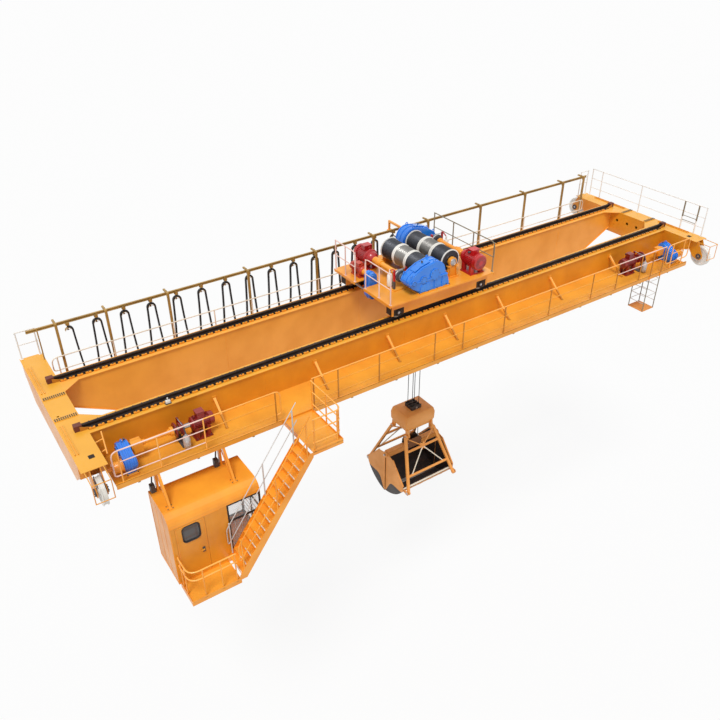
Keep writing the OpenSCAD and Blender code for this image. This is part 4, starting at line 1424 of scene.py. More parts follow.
@dataclass
class Handrails(Bridge):
    """All handrails: tube rails with rounded ends, posts on foot plates."""

    tube: float = 0.018
    post: float = 0.02
    levels: Sequence[float] = (0.27, 0.66, 1.0)
    gate: Pair = (-2.35, -1.75)
    pale: Pair = (18.16, 20.7)
    bend: float = 0.18

    def build(self) -> None:
        """Builds the handrails of the walkways and of the bridge's ends."""
        self.front()
        self.rear()
        self.ends()

    def run(self, blank: Blank, line: tuple[Point, Point], posts: Sequence[float],
            levels: Sequence[float], starts: RailStyle = RailStyle.LOOP,
            stops: RailStyle = RailStyle.LOOP, finish: int = 0, post_finish: int = 0,
            mid_finish: int | None = None) -> None:
        """One straight run of handrail.

        Args:
            blank: The piece that it is drawn into.
            line: Where the run's foot starts and ends.
            posts: How far along the run each post stands.
            levels: The rails' heights, lowest first.
            starts: How the first end is closed.
            stops: How the far end is closed.
            finish: The tubes' finish.
            post_finish: The posts' finish.
            mid_finish: The lower rails' finish, where it is not that of the top rail.
        """
        start, end = (Vector(p) for p in line)
        along = (end - start).normalized()
        up = Vector((0, 0, 1))
        low, high = levels[0], levels[-1]
        path = [start + up * high, end + up * high]
        if starts is RailStyle.LOOP:
            path.insert(0, start + up * low)
            path.insert(0, start + along * posts[0] + up * low)
        if stops is RailStyle.LOOP:
            path.append(end + up * low)
            path.append(start + along * posts[-1] + up * low)
        blank.bar(rounded(path, self.bend), self.tube, finish)
        first = posts[0] if starts is RailStyle.LOOP else 0.0
        last = posts[-1] if stops is RailStyle.LOOP else (end - start).length
        for level in levels[:-1]:
            a = first if level != low or starts is RailStyle.PLAIN else posts[0]
            b = last if level != low or stops is RailStyle.PLAIN else posts[-1]
            blank.bar([start + along * a + up * level, start + along * b + up * level], self.tube * 0.8,
                      finish if mid_finish is None else mid_finish)
        for place in posts:
            foot = start + along * place
            blank.bar([foot, foot + up * (high - self.tube)], self.post, post_finish)
            plate = along * 0.045 + along.cross(up) * 0.03
            plate = Vector((abs(plate.x), abs(plate.y), 0.0))
            blank.block(foot - plate, foot + plate + up * 0.01, post_finish)
            blank.bolts([foot + along * s * 0.032 + up * 0.01 for s in (-1, 1)], Axis.Z, 0.016,
                        post_finish)

    def front(self) -> None:
        """The front walkway's rail, with an opening at the landing."""
        blank = Blank("front_handrail")
        y = -2.73
        posts = [0.45, 1.55, 2.75, 4.76, 6.70, 8.08, 10.09, 11.19, 12.88, 14.88, 16.90, 18.16, 19.40,
                 20.60, 21.80]
        left = [x - 0.43 for x in posts if x < 4.9]
        middle = [0.06, *[x - 5.86 for x in posts if 6 < x < self.pale[0]]]
        left[0] = 0.16
        a, b, c = *self.pale, 2.76
        split = [p for p in left if p + 0.43 < c], [p + 0.43 - c for p in left if p + 0.43 > c]
        # in the left and the pale parts the tubes are pinkish white, which paints the highlight on them;
        # elsewhere the lower rails in the darker tread enamel and the posts in the post enamel paint their
        # shade
        self.run(blank, ((0.43, y, self.walk_z), (c, y, self.walk_z)), split[0], self.levels,
                 stops=RailStyle.PLAIN, finish=2, post_finish=0)
        self.run(blank, ((c, y, self.walk_z), (4.90, y, self.walk_z)), split[1], self.levels,
                 starts=RailStyle.PLAIN, post_finish=1, mid_finish=3)
        self.run(blank, ((5.86, y, self.walk_z), (a, y, self.walk_z)), middle, self.levels,
                 RailStyle.PLAIN, RailStyle.PLAIN, post_finish=1, mid_finish=3)
        self.run(blank, ((a + 0.001, y, self.walk_z), (b, y, self.walk_z)), [0.0, 1.25, b - a - 0.02],
                 (0.6, self.levels[-1]), RailStyle.PLAIN, RailStyle.PLAIN, 2, 1)
        self.run(blank, ((b + 0.12, y, self.walk_z), (22.07, y, self.walk_z)), [0.3, 0.95],
                 (0.27, 0.62, 1.0))
        self.fit(blank, [Stock.rail_front, Stock.post, Stock.rail_pink, Stock.tread], "handrail_paint",
                 "walkway_handrails")

    def rear(self) -> None:
        """The rear walkway's rail: two pale tubes."""
        blank = Blank("rear_handrail")
        posts = [0.16, 1.76, 3.62, 4.97, 6.27, 8.77, 11.07, 13.47, 15.97, 18.27, 20.37, 21.5]
        self.run(blank, ((0.43, 2.4, self.walk_z), (22.07, 2.4, self.walk_z)), posts, (0.46, 0.88))
        self.fit(blank, [Stock.rail_pale], "handrail_paint")

    def ends(self) -> None:
        """The rail over the right carriage with its gate posts, and the short rear ones."""
        blank = Blank("end_handrails_tube")
        x, half = self.span + 0.28, 2.7
        self.run(blank, ((x, -half, 0.0), (x, half, 0.0)), [0.02, 2.91, 4.87, 5.38], (0.33, 0.71, 1.1),
                 RailStyle.PLAIN, RailStyle.PLAIN)
        for y in self.gate:
            blank.bar([(x, y, 0.0), (x, y, 0.5)], 0.026, 0)
            blank.bar([(x, y, 0.5), (x, y, 1.1)], 0.028, 1)
        for z in (0.38, 0.55):
            blank.bar([(x, self.gate[0], z), (x, self.gate[1], z)], 0.012, 1)
        for x0, x1, levels in ((-0.28, 0.28, (0.45, 0.85)),
                               (self.span - 0.26, self.span + 0.22, (0.5, 1.0))):
            self.run(blank, ((x0, 2.86, 0.0), (x1, 2.86, 0.0)), [0.03, x1 - x0 - 0.03], levels,
                     RailStyle.PLAIN, RailStyle.PLAIN)
        blank.bar([(0.28, 2.5, 0.0), (0.28, 2.5, 1.0)], 0.018, 2)
        self.fit(blank, [Stock.rail_faint, Stock.rail_dark, Stock.olive], "handrail_paint",
                 "end_handrails")


@dataclass
class Landings(Handrails):
    """The mid landing, the cab landing, and the stair between them with its rails."""

    floor: float = 0.008
    x: Pair = (4.93, 5.83)
    y: Pair = (-4.32, -2.77)
    stair_y: Pair = (-4.32, -3.575)
    stair_low: Pair = (2.58, -4.06)
    treads: int = 14
    cab_left: float = 1.24
    cab_front: float = -3.56

    def build(self) -> None:
        """Builds both landings and the stair."""
        self.plates()
        self.rails()
        self.stair()

    def plates(self) -> None:
        """Tread plates with their kerbs and stiffeners."""
        blank = Blank("landing_plates")
        (x0, x1), (y0, y1), z = self.x, self.y, self.walk_z
        blank.block((x0, y0, z - self.floor), (x1, y1, z), 1)
        blank.block((x1 - 0.01, y0, z - 0.1), (x1, y1, z + 0.06), 0)
        blank.block((x0, y0, z - 0.1), (x1 - 0.011, y0 + 0.01, z + 0.06), 0)
        blank.block((x0, self.stair_y[1], z - 0.1), (x0 + 0.01, y1, z + 0.06), 0)
        for y in (-3.9, -3.45, -3.0):
            blank.block((x0 + 0.02, y - 0.005, z - 0.085), (x1 - 0.012, y + 0.005, z - 0.009), 0)
        low_z = self.stair_low[1]
        left, right = self.cab_left, self.stair_low[0] + 0.03
        blank.block((left, y0, low_z - 0.01), (right, self.cab_front, low_z), 1)
        blank.block((left, y0, low_z - 0.11), (right, y0 + 0.01, low_z - 0.011), 0)
        blank.block((left, y0, low_z), (self.stair_low[0], y0 + 0.01, low_z + 0.06), 0)
        blank.block((left, y0 + 0.011, low_z - 0.11), (left + 0.01, self.cab_front, low_z + 0.06), 0)
        for x in (1.7, 2.2):
            blank.block((x - 0.005, y0 + 0.012, low_z - 0.09),
                        (x + 0.005, self.cab_front, low_z - 0.011), 0)
        self.fit(blank, [Stock.yellow, Stock.tread], "crane_paint", "landings")

    def rails(self) -> None:
        """Rails round the landings. The cab landing's turns back to the cab in a round corner."""
        blank = Blank("landing_rails")
        (x0, x1), (y0, y1), z = self.x, self.y, self.walk_z
        corner = (x1 - 0.03, y0 + 0.03)
        for level in self.levels:
            path = [(x0 + 0.02, corner[1], z + level), (corner[0], corner[1], z + level),
                    (corner[0], y1 - 0.02, z + level)]
            blank.bar(rounded(path, self.bend), self.tube, 0)
        for foot in ((x0 + 0.06, corner[1]), (x1 - 0.16, corner[1]), (corner[0], -4.15),
                     (corner[0], -3.55), (corner[0], -2.83)):
            self.stand(blank, (*foot, z), self.levels[-1], 1)
        low = self.stair_low[1]
        left = self.cab_left + 0.03
        for level in (0.69, 0.98):
            path = [(left, self.cab_front - 0.02, low + level), (left, y0 + 0.03, low + level),
                    (self.stair_low[0] - 0.04, y0 + 0.03, low + level)]
            blank.bar(rounded(path, 0.28), self.tube * 1.1, 0)
        for foot in ((1.62, y0 + 0.03), (2.1, y0 + 0.03), (2.5, y0 + 0.03), (left, -3.72),
                     (left, -3.98)):
            self.stand(blank, (*foot, low), 0.98, 1)
        self.fit(blank, [Stock.rail_front, Stock.yellow], "handrail_paint")

    def stand(self, blank: Blank, foot: Point, height: float, finish: int) -> None:
        """One post on its foot plate.

        Args:
            blank: The piece that it is drawn on.
            foot: Where it stands.
            height: Its height.
            finish: Which of the piece's finishes it gets.
        """
        x, y, z = foot
        blank.bar([(x, y, z), (x, y, z + height)], self.post, finish)
        blank.block((x - 0.035, y - 0.03, z), (x + 0.035, y + 0.03, z + 0.01), finish)

    def stair(self) -> None:
        """Paint and nosings of the treads, and both sloping rails."""
        self.paint(Stock.yellow, "stair")
        run = self.stair_low[0] - self.x[0], self.stair_low[1] - self.walk_z
        step = (run[0] / (self.treads + 1), 0.0, run[1] / (self.treads + 1))
        middle = sum(self.stair_y) / 2
        risers = row_of_blocks("stair_riser_row", Stock.yellow)
        self.lay(risers, "stair_risers", "crane_paint", start=(self.x[0] + step[0] + 0.085, middle,
                                                               self.walk_z + step[2] / 2 - 0.012),
                 step=step, count=self.treads, block=(0.006, 0.68, -step[2] - 0.004))
        nosings = row_of_blocks("tread_nosing_row", Stock.rail_pale)
        self.lay(nosings, "tread_nosings", "handrail_paint",
                 start=(self.x[0] + step[0] - 0.1, middle - 0.17, self.walk_z + step[2] + 0.003),
                 step=step, count=self.treads, block=(0.022, 0.33, 0.022))
        for side, y in (("outer", self.stair_y[0] + 0.028), ("inner", self.stair_y[1] - 0.028)):
            blank = Blank(f"stair_rail_{side}")
            top = Vector((self.x[0] - 0.04, y, self.walk_z))
            low = Vector((self.stair_low[0] + 0.06, y, self.stair_low[1] + 0.02))
            heights = (0.6, 1.15)
            thin = self.tube if side == "outer" else self.tube * 0.7
            loop = [top + Vector((0, 0, heights[0])), low + Vector((0, 0, heights[0])), low
                    + Vector((0, 0, heights[1])), top + Vector((0, 0, heights[1]))]
            blank.bar(rounded(loop, 0.1), thin, 0)
            for i in (1, 7, 14):
                foot = Vector((self.x[0] + step[0] * i - 0.01, y, self.walk_z + step[2] * i + 0.076))
                blank.bar([foot, foot + Vector((0, 0, heights[1] - 0.076))], self.post, 0)
            finish = Stock.yellow if side == "outer" else Stock.rail_grey
            self.fit(blank, [finish], "handrail_paint", "stair_handrails" if side == "outer" else "")


# ---- The cab and what hangs under the walkway ----


@dataclass
class Cab(Bridge):
    """The driver's cab: paint, door trim, glazing and hangers."""

    x: Pair = (1.2, 3.7)
    y: Pair = (-3.56, -2.29)
    z: Pair = (-4.06, -1.78)
    door: Pair = (1.33, 2.13)
    door_z: Pair = (-3.995, -2.16)
    window: Point = (1.74, -2.48)
    window_size: Pair = (0.46, 0.52)
    window_round: float = 0.11
    glass_x: float = 2.74
    glass_z: Pair = (-3.80, -2.11)
    transom: float = -2.69

    def build(self) -> None:
        """Builds the cab's worked pieces."""
        self.paint(Stock.yellow, "cab_floor", "cab_roof", "cab_hangers")
        # the walls and the door in the darker enamel, which paints their shade
        self.paint(Stock.deep, "cab_walls", "cab_door")
        # the door window's dark glass paints the shade inside the cab
        self.paint(Stock.shade_glass, "door_window")
        self.door_trim()
        self.glazing()
        self.skin_trim()
        self.hangers()

    def door_trim(self) -> None:
        """The window's rubber, the door's rims, its hinges and its handle."""
        face = self.y[0] - 0.004
        (w, h), r = self.window_size, self.window_round
        cx, cz = self.window
        ring = []
        for k, (sx, sz) in enumerate(((1, 1), (-1, 1), (-1, -1), (1, -1))):
            for i in range(7):
                turn = math.pi / 2 * (k + i / 6)
                ring.append((cx + sx * (w / 2 - r) + r * math.cos(turn), face, cz + sz * (h / 2 - r)
                             + r * math.sin(turn)))
        blank = Blank("door_trim")
        blank.bar(ring, 0.018, 0, 8, loop=True)
        x0, x1 = self.door
        z0, z1 = self.door_z
        for a, b in (((x0 + 0.02, z0 + 0.02), (x0 + 0.035, z1 - 0.02)),
                     ((x1 - 0.035, z0 + 0.02), (x1 - 0.02, z1 - 0.02)),
                     ((x0 + 0.02, z1 - 0.035), (x1 - 0.02, z1 - 0.02)),
                     ((x0 + 0.02, z0 + 0.02), (x1 - 0.02, z0 + 0.035))):
            blank.block((a[0], face - 0.002, a[1]), (b[0], face + 0.006, b[1]), 1)
        blank.block((x1 - 0.17, face - 0.008, -3.30), (x1 - 0.10, face + 0.004, -3.13), 2)
        self.fit(blank, [Stock.frame, Stock.yellow, Stock.grey], "window_frame", body="cab_door",
                 soft=0.003)

    def glazing(self) -> None:
        """The front and rear windows and the glazed right end: dark frames with clear panes."""
        frames, panes = Blank("cab_window_frames"), Blank("cab_panes")
        y, x = self.y[0], self.x[1]
        z0, z1 = self.glass_z
        bar = 0.045
        levels = [(z0, z0 + bar), (self.transom - 0.022, self.transom + 0.022), (z1 - bar, z1)]
        for near, far in ((y - 0.004, y + 0.036), (self.y[1] - 0.038, self.y[1] - 0.002)):
            for a, b in levels:
                frames.block((self.glass_x + bar, near, a), (x - 0.045, far, b))
            for a, b in ((self.glass_x, self.glass_x + bar), (x - 0.045, x)):
                frames.block((a, near - 0.002, z0), (b, far + 0.002, z1))
            panes.block((self.glass_x + bar, near + 0.017, z0 + bar),
                        (x - 0.045, near + 0.023, z1 - bar))
        rear = self.y[1] - 0.041
        middle = (self.y[0] + self.y[1]) / 2
        for a, b in ((z0, z0 + bar), (self.transom - 0.022, self.transom + 0.022),
                     (z1 - bar, z1)):
            frames.block((x - 0.036, y + 0.039, a), (x + 0.002, rear, b))
        for a, b in ((middle - 0.022, middle + 0.022), (rear - bar, rear)):
            frames.block((x - 0.034, a, z0 + bar), (x, b, z1 - bar))
        panes.block((x - 0.022, y + 0.04, z0 + bar), (x - 0.016, rear - bar, z1 - bar))
        # guard bars inside the lower lights
        for i in range(5):
            z = z0 + 0.2 + 0.18 * i
            frames.bar([(x - 0.05, y + 0.05, z), (x - 0.05, rear - 0.05, z)], 0.007, 1, 6)
        for i in range(4):
            a = self.glass_x + 0.2 + 0.19 * i
            frames.bar([(a, y + 0.05, z0 + 0.05), (a, y + 0.05, self.transom)], 0.006, 1, 6)
        self.fit(frames, [Stock.frame, Stock.silver], "window_frame", "cab_glazing")
        self.fit(panes, [Stock.glass], "cab_glass")

    def skin_trim(self) -> None:
        """Corner angles, the roof's drip edge and the cab's base rail."""
        blank = Blank("cab_skin_trim")
        (x0, x1), (y0, y1), (z0, z1) = self.x, self.y, self.z
        shoulder = 0.33
        arc = [(y0 + shoulder - shoulder * math.sin(t), z1 - shoulder + shoulder * math.cos(t))
               for t in (math.pi / 2 * i / 8 for i in range(9))]
        outer = [(y1 - 0.02, z1 + 0.004), *[(y - 0.003, z + 0.003) for y, z in arc]]
        inner = [(y, z - 0.012) for y, z in reversed(arc)] + [(y1 - 0.02, z1 - 0.012)]
        for x in (x0 - 0.006, x1 - 0.012):
            blank.prism(outer + inner, Axis.X, x, x + 0.018, 0)
        blank.block((x0 - 0.006, y0 - 0.004, z0 + 0.07), (x0 + 0.03, y0, z1 - shoulder), 0)
        blank.block((x0 - 0.006, y1 - 0.03, z0 + 0.07), (x0, y1, z1 - 0.02), 0)
        blank.block((x0 - 0.006, y0, z0), (x0, y1, z0 + 0.07), 0)
        blank.block((x1, y0, z0), (x1 + 0.006, y1, z0 + 0.07), 0)
        blank.block((self.x[0], y0 - 0.006, self.door_z[1] + 0.03),
                    (self.glass_x - 0.2, y0, self.door_z[1] + 0.055), 0)
        for y in (-3.1, -2.7):
            blank.block((x0 - 0.005, y - 0.02, z0 + 0.08), (x0, y + 0.02, z1 - 0.1), 0)
        self.fit(blank, [Stock.yellow], "crane_paint", soft=0.0015)

    def hangers(self) -> None:
        """Dark bolted blocks at the hangers' heads, a thin raking tie beside each, and bolts."""
        blank = Blank("cab_hanger_blocks")
        for x in (1.4, 3.15):
            blank.block((x - 0.07, -2.47, -0.965), (x + 0.13, -2.29, -0.885), 0)
            blank.block((x - 0.05, -2.73, -0.95), (x + 0.11, -2.57, -0.885), 0)
            blank.bolts([(x + dx, y, self.z[1] + 0.02) for dx in (-0.035, 0.095)
                         for y in (-2.45, -2.33)], Axis.Z, 0.03, 0)
            blank.bolts([(x + dx, y, self.z[1] + 0.014) for dx in (-0.035, 0.095)
                         for y in (-3.23, -3.11)], Axis.Z, 0.03, 0)
            blank.bar([(x + 0.03, -2.36, -0.97), (x + 0.03, -3.06, self.z[1] + 0.03)], 0.016, 1)
            blank.block((x - 0.16, -2.45, self.z[1] + 0.01), (x - 0.04, -2.32, -1.53), 0)
            blank.bar([(x - 0.1, -2.385, -1.53), (x - 0.02, -2.385, -1.0)], 0.02, 0)
        self.fit(blank, [Stock.grey, Stock.yellow], "crane_paint", soft=0.004)


@dataclass
class ServiceCage(Bridge):
    """The hanging service cage: slim grey posts, pale rungs and a plate floor."""

    x: Pair = (19.98, 20.58)
    y: Pair = (-2.785, -2.165)
    floor_z: float = -2.26
    rung_pitch: float = 0.3

    def build(self) -> None:
        """Builds the cage."""
        blank = Blank("service_cage_tube")
        (x0, x1), (y0, y1) = self.x, self.y
        blank.block((x0 - 0.015, y0 - 0.015, self.floor_z - 0.02),
                    (x1 + 0.015, y1 + 0.015, self.floor_z), 2)
        for x in self.x:
            blank.bar([(x, y0, self.floor_z), (x, y0, -0.985)], 0.017, 0)
            blank.block((x - 0.016, y0 - 0.012, -0.985), (x + 0.016, y0 + 0.014, -0.81), 3)
            blank.bar([(x, y1, self.floor_z), (x, y1, -0.885)], 0.017, 0)
            blank.bar([(x, y0 - 0.002, -0.82), (x, y0 - 0.002, 0.12)], 0.02, 4)
            for i in range(4):
                z = self.floor_z + self.rung_pitch * (i + 1)
                blank.bar([(x, y0, z), (x, y1, z)], 0.01, 1, 8)
        for i in range(4):
            z = self.floor_z + self.rung_pitch * (i + 1)
            for y in self.y:
                if y == y1 or i in (1, 3):
                    blank.bar([(x0, y, z), (x1, y, z)], 0.01, 1, 8)
        self.fit(blank, [Stock.rail_dark, Stock.rail_grey, Stock.dusty, Stock.yellow, Stock.post],
                 "handrail_paint", "service_cage")


# ---- The travel drives ----


@dataclass
class TravelDrive(Bridge):
    """A bridge travel drive at each end: motor, brake, long shaft and gearbox."""

    high: Pair = (-2.05, -0.42)
    low: Pair = (-2.42, -0.58)
    case: Pair = (0.74, 1.02)
    motor: Pair = (2.62, 3.26)

    def build(self) -> None:
        """Builds both drives, the right one as the left one's mirror image."""
        for draw, name, finishes, slot, node in (
            (self.draw_gearbox, "travel_gearbox", [Stock.blue, Stock.grey, Stock.yellow],
             "gear_blue", "travel_gearboxes"),
            (self.draw_motor, "travel_motor", [Stock.maroon, Stock.grey], "motor_red",
             "travel_motors"),
            (self.draw_shafts, "travel_shafts",
             [Stock.yellow, Stock.maroon, Stock.silver, Stock.grey, Stock.bright], "crane_paint",
             "drive_shafts"),
        ):
            for end, blank in self.both_ends(draw, name).items():
                self.fit(blank, finishes, slot, node if end is End.LEFT else "", soft=0.006)
        fins = ring_of_fins("travel_motor_fins", Stock.maroon)
        for end in End:
            x = self.end_x(end, sum(self.motor) / 2 - 0.02)
            self.lay(fins, f"travel_motor_fins_{end.name.lower()}", "motor_red", count=22, radius=0.165,
                     fin=(0.036, 0.009, 0.42), centre=(x, self.high[0], self.high[1]),
                     turn=(0.0, math.pi / 2, 0.0))

    def draw_gearbox(self, blank: Blank) -> None:
        """A split case round two shafts, with covers, ribs, an eye and a bolted foot.

        Args:
            blank: The piece that it is drawn on.
        """
        a, b = self.case
        for grow, x0, x1 in ((0.0, a, b), (0.028, (a + b) / 2 - 0.018, (a + b) / 2 + 0.018)):
            blank.prism(two_lobes(self.high, 0.215 + grow, self.low, 0.175 + grow), Axis.X, x0, x1, 0)
        for (y, z), r in ((self.high, 0.13), (self.low, 0.15)):
            for x, t in ((b, 0.03), (a, -0.03)):
                blank.disc((x, y, z), Axis.X, r, t, 0)
                blank.bolts(around((x + t, y, z), Axis.X, r - 0.03, 6, 0.3), Axis.X, 0.024, 1,
                            math.copysign(0.8, t))
        rim = two_lobes(self.high, 0.235, self.low, 0.195)
        for x in (a + 0.055, b - 0.055):
            blank.prism(rim, Axis.X, x - 0.008, x + 0.008, 0)
        y, z = self.high
        blank.tube((-0.012, 0.012), (0.024, 0.045), ((a + b) / 2, y, z + 0.27), Axis.X, 0, 20)
        blank.block((a - 0.02, self.low[0] - 0.18, -0.87), (b + 0.02, y + 0.18, -0.835), 2)
        blank.block((a + 0.03, self.low[0] - 0.1, -0.84), (b - 0.03, y + 0.1, -0.66), 0)
        blank.bolts([(x, yy, -0.835) for x in (a + 0.01, b - 0.01)
                     for yy in (self.low[0] - 0.14, y + 0.14)], Axis.Z, 0.036, 1)
        blank.turned([(0, 0.02), (0.03, 0.02), (0.036, 0.028), (0.055, 0.028)],
                     (b - 0.06, y + 0.06, z + 0.21), Axis.Z, 1, 12)

    def draw_motor(self, blank: Blank) -> None:
        """A ribbed barrel, end bells, fan cowl with slots, terminal box and feet.

        Args:
            blank: The piece that it is drawn on.
        """
        a, b = self.motor
        y, z = self.high
        draw_motor(blank, Axis.X, (a, b), (y, z), 0.155, feet=-0.87, box_up=0.16)

    def draw_shafts(self, blank: Blank) -> None:
        """The shaft with its couplings, the brake with its thruster can, and the output.

        Args:
            blank: The piece that it is drawn on.
        """
        y, z = self.high
        blank.turned([(1.02, 0.075), (1.06, 0.075), (1.07, 0.13), (1.11, 0.135), (1.32, 0.135),
                      (1.35, 0.12), (1.36, 0.075), (1.43, 0.07), (1.44, 0.05), (2.02, 0.05),
                      (2.03, 0.075), (2.08, 0.08), (2.09, 0.12), (2.17, 0.125), (2.18, 0.07)],
                     (0, y, z), Axis.X, 0, 32)
        blank.block((1.1, y - 0.15, z - 0.15), (1.34, y + 0.13, z + 0.12), 0)
        blank.turned([(2.18, 0.065), (2.62, 0.065)], (0, y, z), Axis.X, 4, 24)
        blank.turned([(2.2, 0.19), (2.215, 0.205), (2.235, 0.205), (2.25, 0.19)], (0, y, z), Axis.X, 1,
                     40)
        blank.turned([(2.32, 0.15), (2.33, 0.16), (2.43, 0.16), (2.44, 0.15)], (0, y, z), Axis.X, 1, 40)
        # brake shoes and levers on their stand
        blank.block((2.28, y - 0.25, -0.87), (2.48, y + 0.21, -0.84), 3)
        for s in (-1, 1):
            blank.prism([(y + s * 0.165, z - 0.13), (y + s * 0.21, z - 0.16), (y + s * 0.22, z + 0.2),
                         (y + s * 0.175, z + 0.21), (y + s * 0.165, z + 0.12)], Axis.X, 2.35, 2.41, 1)
            blank.block((2.35, y + s * 0.19 - 0.03, -0.85), (2.41, y + s * 0.19 + 0.03, z - 0.14), 3)
        blank.bar([(2.38, y - 0.24, z + 0.19), (2.38, y + 0.24, z + 0.19)], 0.012, 4, 8)
        blank.turned([(-0.83, 0.07), (-0.8, 0.09), (-0.52, 0.09), (-0.5, 0.075), (-0.47, 0.07),
                      (-0.46, 0.03), (-0.4, 0.025)], (2.38, y - 0.33, 0), Axis.Z, 2, 28)
        for h in (-0.72, -0.6):
            blank.turned([(h, 0.095), (h + 0.02, 0.095)], (2.38, y - 0.33, 0), Axis.Z, 2, 28)
        blank.prism([(y - 0.36, -0.40), (y - 0.30, -0.36), (y - 0.18, z + 0.21), (y - 0.23, z + 0.21)],
                    Axis.X, 2.365, 2.395, 3)
        # output to the carriage: a guard drum with a flange, and the shaft
        y, z = self.low
        blank.turned([(0.31, 0.05), (0.46, 0.05), (0.462, 0.14), (0.475, 0.15), (0.70, 0.15),
                      (0.702, 0.165), (0.72, 0.165), (0.722, 0.09), (0.74, 0.09)], (0, y, z), Axis.X, 0,
                     40)


def two_lobes(high: Pair, r_high: float, low: Pair, r_low: float, steps: int = 14) -> list[Pair]:
    """The outline of a belt laid round two circles, counter-clockwise.

    Args:
        high: The first circle's centre.
        r_high: Its radius.
        low: The second circle's centre.
        r_low: Its radius.
        steps: The points on each arc.

    Returns:
        The outline's points.
    """
    dy, dz = low[0] - high[0], low[1] - high[1]
    gap = math.hypot(dy, dz)
    lean = math.atan2(dz, dy)
    spread = math.acos((r_high - r_low) / gap)
    out = []
    for centre, r, start, stop in (
        (high, r_high, lean + spread, lean + 2 * math.pi - spread),
        (low, r_low, lean - spread, lean + spread),
    ):
        for i in range(steps + 1):
            t = start + (stop - start) * i / steps
            out.append((centre[0] + r * math.cos(t), centre[1] + r * math.sin(t)))
    return out


def draw_motor(blank: Blank, axis: Axis, ends: Pair, centre: Pair, radius: float, feet: float,
               box_up: float) -> None:
    """A cast motor: barrel, end bells, fan cowl, terminal box, feet and lifting eye.

    Args:
        blank: The piece that it is drawn into. Finish 0 is its enamel and 1 the dark parts.
        axis: The direction of its shaft. The driving end is the first of its ends.
        ends: Where the driving end and the cowl's end lie along the axis.
        centre: The shaft's two cross coordinates, the level last.
        radius: The barrel's radius without fins.
        feet: The level that it stands on.
        box_up: How far the terminal box stands over the barrel.
    """
    a, b = ends
    run = b - a
    side, z = centre
    middle = axis.place(0, side, z)

    def at(along: float, r: float) -> Pair:
        """A place on the outline, as shares of the length and of the radius."""
        return a + run * along, radius * r

    blank.turned([at(0, 0.42), at(0.02, 0.75), at(0.05, 1.0), at(0.09, 1.18), at(0.13, 1.2),
                  at(0.14, 1.0), at(0.78, 1.0), at(0.79, 1.2), at(0.83, 1.18)], middle, axis, 0, 44)
    blank.turned([at(0.80, 1.13), at(0.97, 1.13), at(1.0, 1.0), at(1.0, 0.35)], middle, axis, 0, 44)
    # cowl slots: rings of dark bars on the far face
    for r in (0.42, 0.62, 0.82):
        lip = math.copysign(0.006, run)
        blank.tube((b, b + lip), (radius * r, radius * (r + 0.05)), middle, axis, 1, 32)
    lo, hi = sorted((a + run * 0.3, a + run * 0.62))
    wide = radius * 0.62
    blank.block(axis.place(lo, side - wide, z + radius * 0.8),
                axis.place(hi, side + wide, z + radius + box_up), 0)
    blank.block(axis.place(lo - 0.012, side - wide - 0.012, z + radius + box_up),
                axis.place(hi + 0.012, side + wide + 0.012, z + radius + box_up + 0.018), 0)
    blank.turned([(wide, 0.028), (wide + 0.05, 0.028), (wide + 0.055, 0.036), (wide + 0.08, 0.036)],
                 axis.place((lo + hi) / 2, side, z + radius + box_up / 2), Axis.X if axis is Axis.Y
                 else Axis.Y, 1, 16)
    eye = axis.place(a + run * 0.2, side, z + radius * 1.28)
    blank.tube((-0.012, 0.012), (0.022, 0.045), eye, axis, 0, 20)
    for place in (0.2, 0.7):
        lo, hi = sorted((a + run * (place - 0.07), a + run * (place + 0.07)))
        for s in (-1, 1):
            blank.block(axis.place(lo, side + min(s * radius * 0.55, s * radius * 1.15), feet + 0.035),
                        axis.place(hi, side + max(s * radius * 0.55, s * radius * 1.15),
                                   z - radius * 0.45), 0)
    lo, hi = sorted((a + run * 0.08, a + run * 0.82))
    blank.block(axis.place(lo, side - radius * 1.25, feet),
                axis.place(hi, side + radius * 1.25, feet + 0.04), 0)
    blank.bolts([axis.place(p, side + s * radius * 1.12, feet + 0.04) for p in (lo + 0.05, hi - 0.05)
                 for s in (-1, 1)], Axis.Z, 0.036, 1)


# ---- The festoon ----


